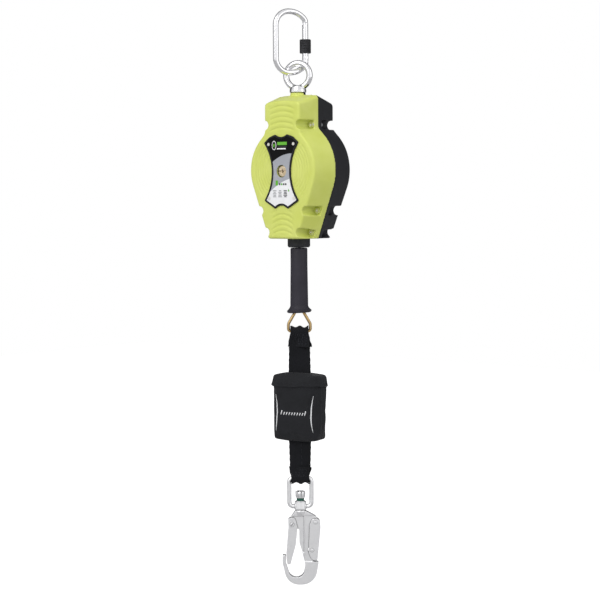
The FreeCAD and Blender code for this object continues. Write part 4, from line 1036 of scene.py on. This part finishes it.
def build_piping(surface, place):
    """Two thin white arcs on the pouch's front, and ten slanted strokes, the outer two longer."""
    for name, middle, bow in (("piping_left", -33, -0.6), ("piping_right", 33.4, 1)):
        path = []
        count = 36
        for k in range(count + 1):
            share = k / count * 2 - 1
            x = (middle + bow * 4.2 * (share * share - 0.35)) * MM
            path.append(skin(surface, x, (-9 + 31 * share) * MM, lift=0.1 * MM))
        path = [place @ at for at in path]
        piece = tube(name, path, lambda share: (0.2 + 0.85 * math.sin(math.pi * share)) * MM, 8)
        done(piece, "absorber", PRINT_WHITE)
    marks = []
    for number in range(10):
        x, low, lean = (-24 + 5 * number) * MM, -12 * MM, 2 * MM
        long = (7.5 if number in (0, 9) else 4.5) * MM
        start = skin(surface, x, low, lift=0.05 * MM)
        end = skin(surface, x + lean, low + long, lift=0.05 * MM)
        marks.append(tube("mark", [place @ start, place @ end], 0.85 * MM, 8))
    done(joined("pouch_mark", marks), "absorber", PRINT_WHITE)


# ---------------------------------------------------------------- hook
def button(name, centre, half, head, thick, slot_turn, body, replaces):
    """A cross pin with a button head at each end, half its length from the hook's middle."""
    shank, soft = 2.3 * MM, 0.45 * MM
    end = [(0, half), (head - soft, half), (head - 0.13 * MM, half - 0.13 * MM), (head, half - soft),
           (head, half - thick), (shank, half - thick)]
    profile = end + [(radius, -height) for radius, height in reversed(end)]
    turn = yaw_matrix(LINE_YAW, centre)
    place = turn @ Matrix.Rotation(math.radians(90), 4, "X")
    piece = lathe(name, profile, 64, place, False)
    if slot_turn is not None:
        for side in (-1, 1):
            wide, deep = 0.55 * MM, 0.6 * MM
            cutter = rounded_box("cutter", Vector((-head * 1.1, side * half - deep, -wide)),
                                 Vector((head * 1.1, side * half + deep, wide)), 0.05 * MM,
                                 turn @ Matrix.Rotation(math.radians(slot_turn), 4, "Y"))
            boolean(piece, cutter, "DIFFERENCE")
    return done(piece, body, HOOK, replaces, 35)


def build_cap():
    """The castle nut on top of the hook's swivel."""
    low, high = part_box("swivel_cap")
    axis, tall = (low + high) / 2, high.z - low.z
    radius, bore, slots = (high.x - low.x) / 2, 4.5 * MM, 9
    rows = [(bore, 0, 0), (radius - 1.8 * MM, 0, 0), (radius - 0.9 * MM, 1 * MM, 0.3),
            (radius - 0.2 * MM, 2.4 * MM, 1), (radius, tall * 0.6, 1), (radius, tall - 1.6 * MM, 1),
            (radius - 0.5 * MM, tall - 0.5 * MM, 1), (radius - 1.4 * MM, tall, 1),
            (bore + 0.9 * MM, tall, 1), (bore, tall - 0.6 * MM, 0.6)]
    around = 180
    points = []
    for angle in circle(around):
        share = 1 - float(eased(abs(math.sin(slots / 2 * angle)), 0.2, 0.42))
        for size, height, bite in rows:
            size -= 0.75 * MM * share * bite if size > bore + MM else 0
            height -= 1.5 * MM * share * bite * float(eased(height, tall * 0.7, tall))
            points.append((axis.x + size * math.cos(angle), axis.y + size * math.sin(angle),
                           low.z + height))
    piece = from_lists("castle_cap", points, grid_faces(around, len(rows)))
    done(piece, "snap_hook", HOOK, ("swivel_cap",), 50)


def build_hook():
    """The hook's body, gate and lever with softened edges, its collar and its cross pins."""
    for node, name, body, voxel, rounds in (
            ("hook_body", "forged_hook", "snap_hook", 0.52 * MM, 3),
            ("hook_gate", "forged_gate", "hook_gate", 0.42 * MM, 2),
            ("hook_lock_lever", "pressed_lever", "lock_lever", 0.42 * MM, 2)):
        piece = remeshed(copy_of(node, name), voxel, rounds)
        done(piece, body, HOOK, (node,))
    seat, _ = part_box("swivel_frame")
    barrel = [(0, -9.2), (6.4, -9.2), (7.6, -8.6), (8.6, -7.2), (9.3, -4.6), (9.55, -2.4), (9.3, -0.9),
              (8.9, -0.5), (0, -0.5)]
    collar = lathe("shank_collar", [(radius * MM, height * MM) for radius, height in barrel], 96,
                   Matrix.Translation((0, 0, seat.z)), False)
    done(collar, "snap_hook", HOOK, (), 40)
    gate_pivot, lever_pivot = (Vector(joint(name)["pos_m"])
                               for name in ("hook_gate_open", "lock_lever_squeeze"))
    button("gate_pivot_screw", gate_pivot, 8.1 * MM, 3.7 * MM, 1.2 * MM, -50, "snap_hook",
           ("hook_pivot_rivets",))
    button("lever_pivot_rivet", lever_pivot, 9.2 * MM, 3.1 * MM, 0.8 * MM, None, "snap_hook", ())
    button("lever_cross_rivet", centre_of("lever_rivet"), 9.6 * MM, 3.1 * MM, 1.2 * MM, None,
           "lock_lever", ("lever_rivet",))


# ---------------------------------------------------------------- stage
PHOTO_AZIMUTH, PHOTO_ELEVATION = 40, 3.33
CAMERA_DISTANCE, LENS = 3.0, 106.5
CAMERA_ROLL = -0.34
LOOK_ASIDE, LOOK_LEVEL = 1.3 * MM, -475.3 * MM
FLOOR_DROP = 0.5               # below the lowest point at full payout


def aim(thing, target, roll=0.0):
    turn = (Vector(target) - thing.location).to_track_quat("-Z", "Y").to_matrix().to_4x4()
    turn = turn @ Matrix.Rotation(math.radians(roll), 4, "Z")
    thing.rotation_euler = turn.to_euler()


def around(azimuth, elevation, distance, centre):
    a, e = math.radians(azimuth), math.radians(elevation)
    return centre + distance * Vector((math.sin(a) * math.cos(e), -math.cos(a) * math.cos(e), math.sin(e)))


def build_camera(centre):
    data = bpy.data.cameras.new("camera")
    data.lens = LENS
    camera = add_object("camera", data)
    camera.location = around(PHOTO_AZIMUTH, PHOTO_ELEVATION, CAMERA_DISTANCE, centre)
    aim(camera, centre, CAMERA_ROLL)
    bpy.context.scene.camera = camera


def softbox(name, azimuth, elevation, distance, size, power, centre):
    data = bpy.data.lights.new(name, "AREA")
    data.shape = "RECTANGLE"
    data.size, data.size_y = size
    data.energy = power
    light = add_object(name, data)
    light.location = around(azimuth, elevation, distance, centre)
    aim(light, centre)


def build_world():
    """A pale room, darker behind the object as its metal sees it, and white to the camera."""
    tree = Tree(bpy.data.worlds.new("studio"))
    bpy.context.scene.world = tree.owner
    sky, output = (tree.tree.nodes[name] for name in ("Background", "World Output"))
    way = tree.coordinates["Generated"]
    height = tree.add("ShaderNodeSeparateXYZ", {"Vector": way}).outputs["Z"]
    ramp = tree.add("ShaderNodeValToRGB", {"Fac": height})
    ramp.color_ramp.elements[0].color = (0.9, 0.9, 0.91, 1)
    ramp.color_ramp.elements[1].color = (0.72, 0.72, 0.73, 1)
    turn = math.radians(PHOTO_AZIMUTH)
    behind = (-math.sin(turn), math.cos(turn), 0)
    back = tree.add("ShaderNodeVectorMath", {0: way, 1: behind}, operation="DOT_PRODUCT")
    share = tree.spread(back.outputs["Value"], 0, 1, -0.05, 0.5)
    tree.feed(sky, {"Color": tree.mix(share, ramp.outputs["Color"], (0.1, 0.1, 0.105))})
    white = tree.add("ShaderNodeBackground", {"Color": (1, 1, 1, 1)})
    seen = tree.add("ShaderNodeLightPath").outputs["Is Camera Ray"]
    feeds = {"Fac": seen, 1: sky.outputs["Background"], 2: white.outputs["Background"]}
    tree.feed(output, {"Surface": tree.add("ShaderNodeMixShader", feeds).outputs["Shader"]})


def build_floor(level):
    """A wide pale floor that glows only to the camera, so that no horizon shows."""
    half, glow = 60, 0.8
    floor = from_lists("floor", [(x, y, level) for x, y in ((-half, -half), (half, -half),
                                                           (half, half), (-half, half))], [(0, 1, 2, 3)])
    tree = Tree(bpy.data.materials.new("floor"), Base_Color=(0.88, 0.88, 0.88, 1), Roughness=0.9,
                Emission_Color=(1, 1, 1, 1))
    seen = tree.add("ShaderNodeLightPath").outputs["Is Camera Ray"]
    tree.feed(tree.shader, {"Emission Strength": tree.times(seen, glow)})
    floor.data.materials.append(tree.owner)


def build_all():
    turn = math.radians(PHOTO_AZIMUTH)
    look_at = Vector((LOOK_ASIDE * math.cos(turn), LOOK_ASIDE * math.sin(turn), LOOK_LEVEL))
    build_camera(look_at)
    for step in (dress_carried_nodes, build_casing, build_bezel, build_label, build_spindle,
                 build_lock_sleeve, build_rods, build_rating_marks, build_grip, build_rope,
                 build_webbing, build_pouch, build_hook, build_cap, build_world):
        step()
    build_floor(cad_low.z - joint("line_payout")["range_m"][1] - FLOOR_DROP)
    softbox("key", 5, 35, 2.4, (1.6, 1.6), 23, look_at)
    softbox("side", 100, 20, 2.6, (0.9, 1.8), 5, look_at)
    softbox("rear", 215, 30, 2.6, (1.2, 1.6), 5, look_at)
    bpy.context.scene.view_settings.view_transform = "Standard"


build_all()
